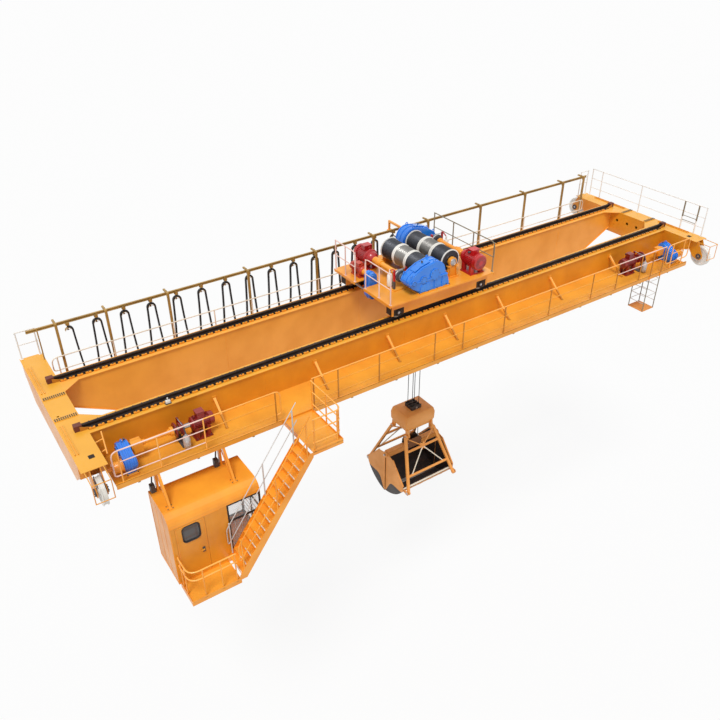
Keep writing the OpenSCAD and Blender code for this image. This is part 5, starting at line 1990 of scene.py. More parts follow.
@dataclass
class Festoon(Bridge):
    """The festoon: its track, its carriers and the flat cable's hanging loops."""

    y: float = 2.62
    first: float = 1.11
    pitch: float = 0.81
    count: int = 14
    saddle_z: float = 0.615
    bend: float = 0.118
    depth: float = 1.9
    half_thick: float = 0.023
    half_wide: float = 0.037
    cables: int = 3
    track_z: float = 0.86
    posts: Sequence[float] = (0.78, 2.19, 4.05, 6.7, 9.2, 11.5, 13.9, 16.4, 18.7, 20.8, 22.0)

    def build(self) -> None:
        """Builds the track and its carriers, and hangs the loops."""
        carriers = [f"festoon_carrier_{i}" for i in range(1, self.count + 1)]
        blank = Blank("festoon_track_beam")
        self.track(blank)
        self.fit(blank, [Stock.olive, Stock.grey], "festoon_steel", "festoon_track", soft=0.002)
        bodies = [self.body, *carriers]
        for i, (near, far) in enumerate(zip(bodies, bodies[1:])):
            x0, x1 = (self.first + self.pitch * k for k in (i, i + 1))
            blank = Blank(f"festoon_loop_{i + 1}")
            self.ribbon(blank, self.hang(x0, x1))
            made = self.fitter.mesh(blank, [Stock.rubber])
            self.fitter.stretch(made, (near, far), ((x0 + self.bend, self.y, self.saddle_z),
                                                    (x1 - self.bend, self.y, self.saddle_z)),
                                "cable_rubber", "festoon_cables" if i == 0 else "")
        for i, carrier in enumerate(carriers):
            blank = Blank(f"{carrier}_frame")
            self.carrier(blank, self.first + self.pitch * (i + 1))
            self.fit(blank, [Stock.olive, Stock.bright, Stock.rubber], "festoon_steel", carrier,
                     body=carrier)

    def hang(self, x0: float, x1: float) -> list[Pair]:
        """The middle line of one loop: half a saddle, down and up, and half a saddle.

        Args:
            x0: Where the first saddle is.
            x1: Where the next saddle is.

        Returns:
            The line as places along the span and up.
        """
        top = [(self.bend * math.cos(a), self.bend * math.sin(a))
               for a in (math.pi / 2 * (1 - k / 8) for k in range(9))]
        half = (x1 - x0) / 2 - self.bend
        middle = (x0 + x1) / 2
        steps = 28
        line = [(x0 + dx, self.saddle_z + dz) for dx, dz in top]
        for k in range(1, steps):
            s = 2 * k / steps - 1
            line.append((middle + half * math.copysign(abs(s) ** 0.6, s),
                         self.saddle_z - self.depth * (1 - abs(s) ** 2.4)))
        return line + [(x1 - dx, self.saddle_z + dz) for dx, dz in reversed(top)]

    def ribbon(self, blank: Blank, line: Sequence[Pair]) -> None:
        """Sweeps a stack of flat cables, with a groove between each two, along a line.

        Args:
            blank: The piece that it is drawn on.
            line: The places along the span and up that it passes.
        """
        t, w = self.half_thick, self.half_wide
        sheet = 2 * t / self.cables
        edge = []
        for k in range(self.cables):
            a = -t + k * sheet
            edge += [(a + 0.001, w - 0.004), (a + 0.004, w), (a + sheet - 0.004, w),
                     (a + sheet - 0.001, w - 0.004)]
        section = edge + [(a, -v) for a, v in reversed(edge)]
        rings = []
        for i, (x, z) in enumerate(line):
            a, b = line[max(i - 1, 0)], line[min(i + 1, len(line) - 1)]
            run = math.hypot(b[0] - a[0], b[1] - a[1])
            dx, dz = (b[0] - a[0]) / run, (b[1] - a[1]) / run
            rings.append([(x - dz * o, self.y + v, z + dx * o) for o, v in section])
        blank.skin(rings, 0)

    def track(self, blank: Blank) -> None:
        """The running beam, its posts of angle with their arms, and the fixed saddle.

        Args:
            blank: The piece that it is drawn on.
        """
        y, z, end = self.y, self.track_z, 22.3
        web = [(y - 0.03, z), (y + 0.03, z), (y + 0.03, z + 0.01), (y + 0.006, z + 0.014),
               (y + 0.006, z + 0.066), (y + 0.03, z + 0.07), (y + 0.03, z + 0.08), (y - 0.03, z + 0.08),
               (y - 0.03, z + 0.07), (y - 0.006, z + 0.066), (y - 0.006, z + 0.014),
               (y - 0.03, z + 0.01)]
        blank.prism(web, Axis.X, 0.0, end, 0)
        for x in self.posts:
            low, high = self.walk_z - 0.08, z + 0.13
            blank.prism([(x - 0.035, 2.45), (x + 0.035, 2.45), (x + 0.035, 2.462), (x - 0.023, 2.462),
                         (x - 0.023, 2.51), (x - 0.035, 2.51)], Axis.Z, low, high, 0)
            blank.block((x - 0.03, 2.463, z + 0.08), (x + 0.03, y + 0.18, z + 0.13), 0)
            blank.bolts([(x + s * 0.02, y, z + 0.13) for s in (-1, 1)], Axis.Z, 0.02, 1)
            blank.prism([(2.463, z - 0.12), (2.463, z + 0.08), (y - 0.035, z + 0.08)], Axis.X, x - 0.03,
                        x - 0.022, 0)
        self.saddle(blank, self.first)
        blank.block((self.first - 0.05, y - 0.05, z - 0.07), (self.first + 0.05, y + 0.05, z), 0)

    def saddle(self, blank: Blank, x: float) -> None:
        """The bent strip that a cable lies over, on its hanger plate.

        Args:
            blank: The piece that it is drawn on.
            x: Its place along the span.
        """
        turns = [math.pi * k / 12 for k in range(13)]
        strip = [(x + r * math.cos(t), self.saddle_z + r * math.sin(t)) for r,
                 row in ((0.092, turns), (0.084, turns[::-1])) for t in row]
        blank.prism(strip, Axis.Y, self.y - 0.04, self.y + 0.05, 0)
        blank.block((x - 0.02, self.y + 0.042, self.saddle_z - 0.02),
                    (x + 0.02, self.y + 0.05, self.track_z - 0.06), 0)
        blank.bar([(x - 0.088, self.y + 0.046, self.saddle_z),
                   (x + 0.088, self.y + 0.046, self.saddle_z)], 0.006, 0, 6)

    def carrier(self, blank: Blank, x: float) -> None:
        """A carrier: cheeks, rollers on the track's lower flange, buffers and the saddle.

        Args:
            blank: The piece that it is drawn on.
            x: Its place along the span.
        """
        y, z = self.y, self.track_z
        for s in (-1, 1):
            blank.block((x - 0.048, y + s * 0.04, z - 0.06), (x + 0.048, y + s * 0.049, z + 0.055), 0)
            blank.turned([(0, 0.018), (s * 0.005, 0.02), (s * 0.006, 0.014)],
                         (x + s * 0.048, y + s * 0.03, z - 0.04), Axis.X, 2, 16)
            for dx in (-0.03, 0.03):
                blank.turned([(s * 0.013, 0.0125), (s * 0.04, 0.0125)], (x + dx, y, z + 0.032), Axis.Y,
                             1, 16)
                blank.bolts([(x + dx, y + s * 0.049, z + 0.032)], Axis.Y, 0.02, 1,
                            proud=math.copysign(0.5, s))
        blank.block((x - 0.048, y - 0.049, z - 0.069), (x + 0.048, y + 0.049, z - 0.06), 0)
        self.saddle(blank, x)


# ---- The trolley ----


@dataclass
class Trolley(Bridge):
    """The grab trolley: gearboxes, motors, brakes, bearings, travel drive and rails."""

    body: str = "trolley"
    x: float = 11.55
    deck: float = 0.70
    ends: Pair = (9.31, 13.40)
    half: float = 1.56
    drum_off: float = 0.5
    drum_z: float = 1.22
    input_off: float = 0.8
    input_z: float = 1.12
    case_y: Pair = (-1.45, -0.952)
    axle_x: Pair = (9.73, 13.0)
    axle_z: float = 0.3053

    def build(self) -> None:
        """Builds everything on the trolley except what turns."""
        self.paint(Stock.yellow, "trolley_frame")
        self.axles()
        for draw, name, finishes, slot, node in (
            (self.draw_case, "hoist_gearbox", [Stock.blue, Stock.grey, Stock.yellow],
             "gear_blue", "hoist_gearboxes"),
            (self.draw_hoist_motor, "hoist_motor", [Stock.red, Stock.grey], "motor_red",
             "hoist_motors"),
            (self.draw_brake, "hoist_brake",
             [Stock.grey, Stock.yellow, Stock.white, Stock.red, Stock.bright], "brake_grey",
             "hoist_brakes"),
            (self.draw_pedestal, "drum_pedestal", [Stock.yellow, Stock.bright, Stock.grey],
             "crane_paint", ""),
        ):
            for hoist in ("holding", "closing"):
                blank = Blank(f"{hoist}_{name}")
                draw(blank)
                if hoist == "closing":
                    blank.flip(self.x, 0)
                self.fit(blank, finishes, slot, node if hoist == "holding" else "", soft=0.008)
        self.motor_fins()
        self.travel_drive()
        self.frame_trim()
        self.handrails()

    def case_outline(self, grow: float = 0.0) -> list[Pair]:
        """The gear case's outline about the drum's axis, grown outwards by a margin.

        Args:
            grow: The margin.

        Returns:
            The outline as places along the span and up.
        """
        dome = [(0.42 * math.cos(a), 0.42 * math.sin(a)) for a in (math.radians(-4 + 106 * k / 15)
                                                                   for k in range(16))]
        points = [(-0.40, -0.5), (0.40, -0.5), (0.54, -0.44), (0.57, -0.32), (0.52, -0.18), *dome,
                  (-0.45, 0.335), (-0.72, 0.2), (-0.9, 0.07), (-0.97, -0.05), (-0.95, -0.16),
                  (-0.84, -0.28), (-0.62, -0.42)]
        out = []
        for x, z in points:
            away = Vector((x + 0.2, z + 0.1)).normalized() * grow
            out.append((self.x - self.drum_off + x + away.x, max(self.drum_z + z + away.y, self.deck)))
        return out

    def draw_case(self, blank: Blank) -> None:
        """A split gear case: rims, split flange, ribs, covers, hatch, eyes and bolted foot.

        Args:
            blank: The piece that it is drawn on.
        """
        y0, y1 = self.case_y
        x, z = self.x - self.drum_off, self.drum_z
        blank.prism(self.case_outline(-0.02), Axis.Y, y0 + 0.03, y1 - 0.01, 0)
        for a, b in ((y0 + 0.05, y0 + 0.09), (y1 - 0.07, y1 - 0.03), (-1.225, -1.175)):
            blank.prism(self.case_outline(), Axis.Y, a, b, 0)
        # split flange with its bolts
        blank.block((x - 0.965, y0 + 0.005, z - 0.13), (x + 0.49, y1, z - 0.08), 0)
        blank.bolts([(x - 0.92 + 0.168 * i, y0 + 0.03, z - 0.08) for i in range(9)], Axis.Z, 0.04, 0)
        # bearing covers and their webs
        for dx, dz, r in ((0.0, 0.0, 0.19), (-0.43, -0.07, 0.13), (-0.8, -0.1, 0.1)):
            blank.disc((x + dx, y0 + 0.03, z + dz), Axis.Y, r, -0.028, 0)
            blank.bolts(around((x + dx, y0 + 0.002, z + dz), Axis.Y, r - 0.03, 8, 0.2), Axis.Y, 0.026,
                        1, -0.8)
        for dx, dz, top in ((0.3, -0.5, -0.14), (0.0, -0.5, -0.2), (-0.3, -0.5, -0.2)):
            blank.block((x + dx - 0.015, y0 + 0.004, z + dz), (x + dx + 0.015, y0 + 0.05, z + top), 0)
        blank.prism([(x + dx, z + dz) for dx, dz in ((-0.55, -0.47), (-0.12, -0.47), (-0.12, -0.3),
                                                     (-0.2, -0.22), (-0.47, -0.22), (-0.55, -0.3))],
                    Axis.Y, y0 + 0.012, y0 + 0.05, 0)
        # hatch on the slope, eyes, breather and foot
        hatch = [(-0.7, 0.205), (-0.45, 0.33), (-0.14, 0.40), (-0.14, 0.425), (-0.46, 0.357),
                 (-0.712, 0.232)]
        blank.prism([(x + dx, z + dz) for dx, dz in hatch], Axis.Y, y0 + 0.12, y1 - 0.12, 0)
        blank.bolts([(x + dx, yy, z + dz) for dx, dz in ((-0.66, 0.25), (-0.5, 0.335), (-0.35, 0.375),
                                                         (-0.2, 0.407)) for yy in (y0 + 0.14,
                                                                                   y1 - 0.14)], Axis.Z,
                    0.022, 1)
        for dx, dz in ((-0.02, 0.44), (-0.86, 0.12)):
            for yy in (y0 + 0.07, y1 - 0.06):
                blank.tube((-0.012, 0.012), (0.026, 0.05), (x + dx, yy, z + dz), Axis.Y, 0, 20)
        blank.turned([(0, 0.02), (0.04, 0.02), (0.05, 0.032), (0.08, 0.032)],
                     (x - 0.35, -1.2, z + 0.37), Axis.Z, 1, 14)
        blank.block((x - 0.62, y0 - 0.012, self.deck), (x + 0.62, y1 - 0.01, self.deck + 0.03), 2)
        for dx in (-0.56, 0.5):
            blank.block((x + dx, y0 + 0.02, self.deck), (x + dx + 0.06, y1 - 0.02, self.deck + 0.16), 0)
        blank.bolts([(x + dx, yy, self.deck + 0.03) for dx in (-0.58, -0.25, 0.1, 0.58)
                     for yy in (y0 + 0.012, y1 - 0.03)], Axis.Z, 0.04, 1)

    def draw_hoist_motor(self, blank: Blank) -> None:
        """The hoist motor behind the drum, its neck and its bell towards the shaft.

        Args:
            blank: The piece that it is drawn on.
        """
        x = self.x - self.drum_off - self.input_off
        draw_motor(blank, Axis.Y, (0.78, 1.48), (x, self.input_z), 0.225, self.deck, 0.12)
        blank.turned([(0.62, 0.10), (0.66, 0.15), (0.70, 0.19), (0.78, 0.225), (0.80, 0.22)],
                     (x, 0, self.input_z), Axis.Y, 0, 40)

    def draw_brake(self, blank: Blank) -> None:
        """The floating shaft with its couplings, the brake and its thruster.

        Args:
            blank: The piece that it is drawn on.
        """
        x, z = self.x - self.drum_off - self.input_off, self.input_z
        blank.turned([(-0.948, 0.06), (0.36, 0.06)], (x, 0, z), Axis.Y, 4, 24)
        blank.turned([(0.22, 0.075), (0.24, 0.12), (0.34, 0.125), (0.35, 0.14), (0.40, 0.14),
                      (0.41, 0.125), (0.60, 0.12), (0.62, 0.09)], (x, 0, z), Axis.Y, 1, 36)
        blank.turned([(-0.58, 0.08), (-0.57, 0.12), (-0.50, 0.12), (-0.48, 0.085), (0.23, 0.085)],
                     (x, 0, z), Axis.Y, 1, 32)
        blank.turned([(-0.745, 0.194), (-0.70, 0.194)], (x, 0, z), Axis.Y, 2, 44)
        blank.turned([(-0.80, 0.17), (-0.79, 0.19), (-0.66, 0.19), (-0.65, 0.17)], (x, 0, z), Axis.Y, 0,
                     44)
        blank.turned([(-0.86, 0.075), (-0.85, 0.12), (-0.81, 0.12), (-0.80, 0.08)], (x, 0, z), Axis.Y,
                     4, 32)
        blank.block((x - 0.30, -0.85, self.deck), (x + 0.26, -0.60, self.deck + 0.03), 1)
        for s in (-1, 1):
            blank.prism([(x + s * 0.195, z - 0.14), (x + s * 0.24, z - 0.2), (x + s * 0.25, z + 0.22),
                         (x + s * 0.2, z + 0.24), (x + s * 0.195, z + 0.14)], Axis.Y, -0.76, -0.69, 3)
            blank.block((x + s * 0.225 - 0.03, -0.77, self.deck + 0.03),
                        (x + s * 0.225 + 0.03, -0.68, z - 0.14), 0)
        blank.bar([(x - 0.28, -0.725, z + 0.2), (x + 0.26, -0.725, z + 0.2)], 0.014, 4, 8)
        blank.turned([(self.deck + 0.03, 0.07), (self.deck + 0.06, 0.085), (z - 0.02, 0.085), (z, 0.07),
                      (z + 0.03, 0.065), (z + 0.04, 0.03), (z + 0.16, 0.025)], (x - 0.22, -0.50, 0),
                     Axis.Z, 2, 28)
        blank.prism([(-0.53, z + 0.14), (-0.47, z + 0.14), (-0.66, z + 0.25), (-0.72, z + 0.25)],
                    Axis.X, x - 0.235, x - 0.205, 3)

    def draw_pedestal(self, blank: Blank) -> None:
        """The plummer block at the drum's free end, on a ribbed stand.

        Args:
            blank: The piece that it is drawn on.
        """
        x, z = self.x - self.drum_off, self.drum_z
        blank.tube((0.975, 1.085), (0.086, 0.15), (x, 0, z), Axis.Y, 0, 44)
        blank.turned([(1.085, 0.12), (1.1, 0.11), (1.1, 0.086), (1.085, 0.086)], (x, 0, z), Axis.Y, 1,
                     36, ring=True)
        blank.prism([(x - 0.2, self.deck + 0.03), (x + 0.2, self.deck + 0.03), (x + 0.15, z - 0.13),
                     (x - 0.15, z - 0.13)], Axis.Y, 1.0, 1.06, 0)
        blank.block((x - 0.19, 0.975, z - 0.15), (x + 0.19, 1.085, z - 0.115), 0)
        blank.block((x - 0.24, 0.95, self.deck), (x + 0.24, 1.11, self.deck + 0.03), 0)
        for s in (-1, 1):
            blank.prism([(x + s * 0.13, self.deck + 0.03), (x + s * 0.15, self.deck + 0.03),
                         (x + s * 0.13, z - 0.14), (x + s * 0.11, z - 0.14)], Axis.Y, 0.96, 1.1, 0)
            blank.bolts([(x + s * 0.165, 1.03, z - 0.115), (x + s * 0.2, 1.03, self.deck + 0.03)],
                        Axis.Z, 0.04, 2)

    def motor_fins(self) -> None:
        """Cooling fins round the three motors' barrels."""
        reach = self.drum_off + self.input_off
        for name, x, y, z, r, fin, finish in (
            ("holding", self.x - reach, 1.10, self.input_z, 0.238, (0.046, 0.010, 0.44),
             Stock.red),
            ("closing", self.x + reach, -1.10, self.input_z, 0.238, (0.046, 0.010, 0.44),
             Stock.red),
            ("travel", self.axle_x[0], 0.745, 0.92, 0.131, (0.026, 0.008, 0.42), Stock.scarlet),
        ):
            self.lay(ring_of_fins(f"{name}_fin_ring", finish), f"{name}_motor_fins", "motor_red",
                     count=30, radius=r, fin=fin, centre=(x, y, z), turn=(math.pi / 2, 0.0, 0.0))

    def travel_drive(self) -> None:
        """The vertical gearbox on the left axle, its coupling and its motor."""
        x, high, low = self.axle_x[0], (self.axle_x[0], 0.92), (self.axle_x[0], self.axle_z)
        blank = Blank("trolley_travel_gearbox")
        for y0, y1, grow in ((-0.055, 0.245, 0.0), (0.075, 0.115, 0.02)):
            blank.prism(two_lobes(high, 0.14 + grow, low, 0.148 + grow), Axis.Y, y0, y1, 0)
        for centre, r in ((high, 0.1), (low, 0.12)):
            for y, t in ((-0.055, -0.02), (0.245, 0.02)):
                inner = 0.056 if centre is low else 0.03
                blank.turned([(0, r), (t, r - 0.006), (t, inner), (0, inner)],
                             (centre[0], y, centre[1]), Axis.Y, 0, 32, ring=True)
                blank.bolts(around((centre[0], y + t, centre[1]), Axis.Y, r - 0.022, 6), Axis.Y, 0.02,
                            1, math.copysign(0.7, t))
        blank.block((x - 0.03, -0.056, 0.55), (x + 0.03, -0.07, 0.72), 0)
        self.fit(blank, [Stock.blue, Stock.grey], "gear_blue", "trolley_drive", soft=0.006)
        blank = Blank("trolley_travel_motor")
        draw_motor(blank, Axis.Y, (0.44, 1.1), (x, 0.92), 0.124, self.deck, 0.07)
        blank.turned([(0.265, 0.045), (0.285, 0.045), (0.29, 0.075), (0.40, 0.08), (0.42, 0.1),
                      (0.45, 0.1)], (x, 0, 0.92), Axis.Y, 2, 32)
        self.fit(blank, [Stock.scarlet, Stock.grey, Stock.yellow], "motor_red", soft=0.005)

    def axles(self) -> None:
        """Both axles: a shaft that clears the frame's bores, and two flanged wheels each."""
        wheel = [(-0.12, 0.045), (-0.118, 0.083), (-0.07, 0.085), (-0.07, 0.1), (-0.055, 0.11),
                 (-0.055, 0.145), (-0.07, 0.155), (-0.07, 0.192), (-0.065, 0.197), (-0.055, 0.197),
                 (-0.046, 0.175)]
        for x, node in zip(self.axle_x, ("trolley_axle_left", "trolley_axle_right")):
            blank = Blank(f"{node}_set")
            # the left one's middle turns unseen in its gearbox and is left out there
            inner = (-0.082, 0.272) if node.endswith("left") else (0.0, 0.0)
            for s, stop in zip((-1, 1), inner):
                blank.turned([(s * 1.42, 0.04), (s * 1.415, 0.045), (stop, 0.045)], (x, 0, self.axle_z),
                             Axis.Y, 0, 40)
            for y in (-1.25, 1.25):
                blank.turned([*wheel, *[(-a, r) for a, r in reversed(wheel)]], (x, y, self.axle_z),
                             Axis.Y, 1, 56)
            self.fit(blank, [Stock.bright, Stock.edge], "wheel_steel", node, body=node, soft=0.002)

    def frame_trim(self) -> None:
        """Deck lips, stiffeners, the well's kerb, axle boxes, and dark plates over the wheel cheeks that
        paint the shade round the wheels.
        """
        blank = Blank("trolley_frame_trim")
        (a, b), h, z = self.ends, self.half, self.deck
        for s in (-1, 1):
            y = s * h
            blank.block((a, y, z - 0.05), (b, y - s * 0.012, z - 0.02), 0)
        for x0, x1 in ((a, a + 0.012), (b - 0.012, b)):
            blank.block((x0, -h + 0.013, z - 0.09), (x1, -0.13, z - 0.02), 0)
            blank.block((x0, 0.35, z - 0.09), (x1, h - 0.013, z - 0.02), 0)
        w = 0.42
        for x0, y0, x1, y1 in ((-w - 0.02, -w - 0.02, w + 0.02, -w), (-w - 0.02, w, w + 0.02, w + 0.02),
                               (-w - 0.02, -w, -w, w), (w, -w, w + 0.02, w)):
            blank.block((self.x + x0, y0, z), (self.x + x1, y1, z + 0.05), 0)
        for x in self.axle_x:
            for s in (-1, 1):
                blank.turned([(0, 0.115), (s * 0.03, 0.11), (s * 0.035, 0.058), (0, 0.058)],
                             (x, s * 1.4, self.axle_z), Axis.Y, 1, 36, ring=True)
                blank.bolts(around((x, s * 1.43, self.axle_z), Axis.Y, 0.09, 6), Axis.Y, 0.022, 2, s)
                # dark plates over the wheel cheeks paint the shade round the wheels
                for dx0, dx1, low in ((-0.19, -0.07, 0.235), (0.07, 0.19, 0.235),
                                      (-0.07, 0.07, 0.385)):
                    blank.block((x + dx0, s * 1.4005, low), (x + dx1, s * 1.406, 0.44), 1)
                for dx in (-0.262, 0.246):
                    blank.block((x + dx, s * 1.25 - 0.13, 0.24),
                                (x + dx + 0.016, s * 1.25 + 0.13, 0.48), 1)
        self.fit(blank, [Stock.yellow, Stock.rail, Stock.grey], "crane_paint", soft=0.003)

    def handrails(self) -> None:
        """Rails on the deck's ends: pale ones at the left and at the right rear."""
        left, right = Blank("trolley_handrail_left"), Blank("trolley_handrail_right")
        rails = Handrails(self.fitter, self.nodes)
        z, levels = self.deck, (0.5, 1.0)
        rails.run(left, ((9.35, -1.5, z), (9.35, -0.16, z)), [0.02, 0.6, 1.32], levels, RailStyle.PLAIN,
                  RailStyle.LOOP)
        rails.run(left, ((9.35, 0.38, z), (9.35, 1.52, z)), [0.02, 0.56, 1.12], levels, RailStyle.LOOP,
                  RailStyle.PLAIN)
        rails.run(right, ((13.36, -1.5, z), (13.36, 1.52, z)), [0.02, 1.0, 2.0, 3.0], levels,
                  RailStyle.LOOP, RailStyle.PLAIN)
        self.fit(left, [Stock.rail_pink], "handrail_paint", "trolley_handrails")
        self.fit(right, [Stock.rail_dark], "handrail_paint")


@dataclass
class Drums(Bridge):
    """The two rope drums: grooved ends, white rings, and the wound middle."""

    x: float = 11.55
    off: float = 0.5
    z: float = 1.22
    radius: float = 0.34
    groove: float = 0.027

    def build(self) -> None:
        """Builds both drums, each on its own body."""
        for name, s in (("holding_drum", -1), ("closing_drum", 1)):
            blank = Blank(f"{name}_shell")
            self.draw(blank, self.x + s * self.off, -s)
            self.fit(blank, [Stock.drum_dark, Stock.drum_mid, Stock.white, Stock.bright], "drum_steel",
                     name, body=name)

    def ridges(self, a: float, b: float, top: float, deep: float) -> list[Pair]:
        """A profile of rounded ridges, one for each rope groove.

        Args:
            a: Where they begin along the axis.
            b: Where they end.
            top: The ridges' radius.
            deep: How deep the grooves are.

        Returns:
            The profile as places along the axis with their radius.
        """
        count = max(1, round((b - a) / self.groove))
        step = (b - a) / count
        line = []
        for i in range(count):
            y = a + i * step
            line += [(y, top - deep), (y + step * 0.25, top - deep * 0.2), (y + step * 0.5, top),
                     (y + step * 0.75, top - deep * 0.2)]
        return line + [(b, top - deep)]

    def draw(self, blank: Blank, x: float, s: int) -> None:
        """One drum. The sign says which end its gearbox is on.

        Args:
            blank: The piece that it is drawn on.
            x: The drum's place along the span.
            s: The side of its gearbox, -1 or 1.
        """
        r = self.radius
        centre = (x, 0, self.z)
        for a, b in ((-0.90, -0.36), (0.36, 0.90)):
            blank.turned(self.ridges(a, b, r, 0.009), centre, Axis.Y, 0, 64)
        blank.turned(self.ridges(-0.235, 0.235, r, 0.012), centre, Axis.Y, 1, 64)
        for a, b in ((-0.36, -0.235), (0.235, 0.36)):
            m = (a + b) / 2
            blank.turned([(a, r - 0.004), (m - 0.03, r), (m - 0.02, r + 0.022), (m + 0.02, r + 0.022),
                          (m + 0.03, r), (b, r - 0.004)], centre, Axis.Y, 2, 64)
        for a, b in ((-0.935, -0.90), (0.90, 0.935)):
            blank.turned([(a, r - 0.01), (a + 0.006, r + 0.023), (b - 0.006, r + 0.023), (b, r - 0.01)],
                         centre, Axis.Y, 2, 64, ring=True)
            blank.turned([(a + 0.001, r - 0.009), (b - 0.001, r - 0.009)], centre, Axis.Y, 0, 64)
        # hubs with webs, and the journals
        for end in (-1, 1):
            y = end * 0.935
            blank.turned([(y, 0.2), (y + end * 0.012, 0.19), (y + end * 0.012, 0.1)], centre, Axis.Y, 0,
                         40)
            reach = 0.013 if end == -s else 0.15
            blank.turned([(y, 0.079), (y + end * reach, 0.079)], centre, Axis.Y, 3, 32)
            blank.bolts(around((x, y + end * 0.012, self.z), Axis.Y, 0.155, 8), Axis.Y, 0.024, 3, end * 0.1)


# ---- The grab and its ropes ----


@dataclass
class Grab(Bridge):
    """The four-rope clamshell grab: head, lower block, shells and arms."""

    x: float = 11.55
    head_z: float = -4.81
    head: Pair = (0.56, 0.40)
    head_deep: float = 0.70
    hinge_z: float = -6.5
    arm_top: Point = (0.60, 0.43, -5.67)
    arm_low: Point = (1.04, 1.25, -7.52)
    shell_r: float = 1.46
    shell_c: Pair = (-0.20, -0.30)
    arc: Pair = (-81.5, -29.0)
    widths: Pair = (1.22, 1.185)

    def build(self) -> None:
        """Builds the grab's four kinds of parts, each on its own body."""
        steel = [Stock.tan, Stock.block, Stock.rail, Stock.bright, Stock.primer]
        blank = Blank("grab_head_box")
        self.draw_head(blank)
        self.fit(blank, steel, "crane_paint", "grab_head", body="grab_head", soft=0.006)
        blank = Blank("grab_lower_block")
        self.draw_block(blank)
        self.fit(blank, [Stock.dusty, Stock.brown, Stock.rail, Stock.bright, Stock.brown], "grab_steel",
                 "grab_block", body="grab_block", soft=0.006)
        for side, width in zip((Side.REAR, Side.FRONT), self.widths):
            shell, arm = Blank("grab_shell"), Blank("grab_arm")
            self.draw_shell(shell, width)
            self.draw_arm(arm)
            for blank, finishes, slot in (
                (shell, [Stock.dusty, Stock.shell, Stock.edge, Stock.block, Stock.rail_pale,
                         Stock.bright], "grab_steel"),
                (arm, [Stock.tan, Stock.bright, Stock.rail_pale], "crane_paint"),
            ):
                node = f"{blank.name}_{side.name.lower()}"
                blank.name = f"{node}_plates"
                if side is Side.FRONT:
                    blank.flip(y=0)
                self.fit(blank, finishes, slot, node, body=node, soft=0.003)

    def draw_head(self, blank: Blank) -> None:
        """An open box of ribbed plate, the sheave block on its top and the arms' ears.

        Args:
            blank: The piece that it is drawn on.
        """
        (w, d), top, x = self.head, self.head_z, self.x
        low = top - self.head_deep
        t = 0.02
        # the box swells below its top and draws in again towards its open underside
        levels = ((top, w + 0.02, d + 0.02), (top - 0.03, w + 0.05, d + 0.045),
                  (top - 0.2, w + 0.1, d + 0.08), (top - 0.48, w + 0.09, d + 0.07),
                  (low, w - 0.02, d - 0.02))
        for shrink, sink, finish in ((0.0, 0.0, 0), (t, 0.001, 4)):
            blank.skin([[(x + sx * (hx - shrink - c), sy * (hy - shrink - e), z - sink) for sx, sy, c,
                         e in ((-1, -1, 0.03, 0), (1, -1, 0.03, 0), (1, -1, 0, 0.03), (1, 1, 0, 0.03),
                               (1, 1, 0.03, 0), (-1, 1, 0.03, 0), (-1, 1, 0, 0.03), (-1, -1, 0, 0.03))]
                        for z, hx, hy in levels], finish)
        # sheave block: cheeks, sheaves between them, pin caps
        cw, cd = 0.21, 0.21
        for y in (-cd, -0.07, 0.05, cd - t):
            blank.block((x - cw, y, top), (x + cw, y + t, top + 0.16), 1)
        for y in (-0.135, 0.135):
            blank.turned([(-0.045, 0.19), (-0.02, 0.19), (0.0, 0.17), (0.02, 0.19), (0.045, 0.19)],
                         (x, y, top - 0.03), Axis.Y, 2, 32)
        for dx in (-cw, cw - 0.03):
            blank.block((x + dx, -cd + 0.021, top), (x + dx + 0.03, cd - 0.021, top + 0.13), 1)
        for s in (-1, 1):
            blank.disc((x, s * cd, top + 0.07), Axis.Y, 0.045, s * 0.006, 3, 24)
        # ears that take the arms' top pins
        _, ay, az = self.arm_top
        for s in (-1, 1):
            for e in (-1, 1):
                outline = [(s * 0.33, top - 0.3), (s * 0.46, top - 0.42), (s * 0.518, az),
                           (s * 0.49, az - 0.07), (s * 0.40, az - 0.088), (s * 0.345, az - 0.05),
                           (s * 0.305, top - 0.68)]
                blank.prism(outline, Axis.X, x + e * 0.502, x + e * 0.558, 0)
                blank.turned([(e * 0.478, 0.075), (e * 0.50, 0.075)], (x, s * ay, az), Axis.X, 0, 32)
                blank.turned([(e * 0.47, 0.039), (e * 0.5585, 0.039)], (x, s * ay, az), Axis.X, 3, 24)
        # sheaves and brown guide plates that hang under the box
        for dx in (-0.2, 0.2):
            for y in (-0.09, 0.09):
                blank.turned([(-0.035, 0.15), (-0.02, 0.155), (0, 0.135), (0.02, 0.155), (0.035, 0.15)],
                             (x + dx, y + 0.05 * math.copysign(1, y), low + 0.28), Axis.Y, 2, 32)
        blank.block((x - 0.42, -0.2, low + 0.02), (x - 0.40, 0.2, low + 0.3), 4)
        blank.block((x + 0.40, -0.2, low + 0.02), (x + 0.42, 0.2, low + 0.3), 4)

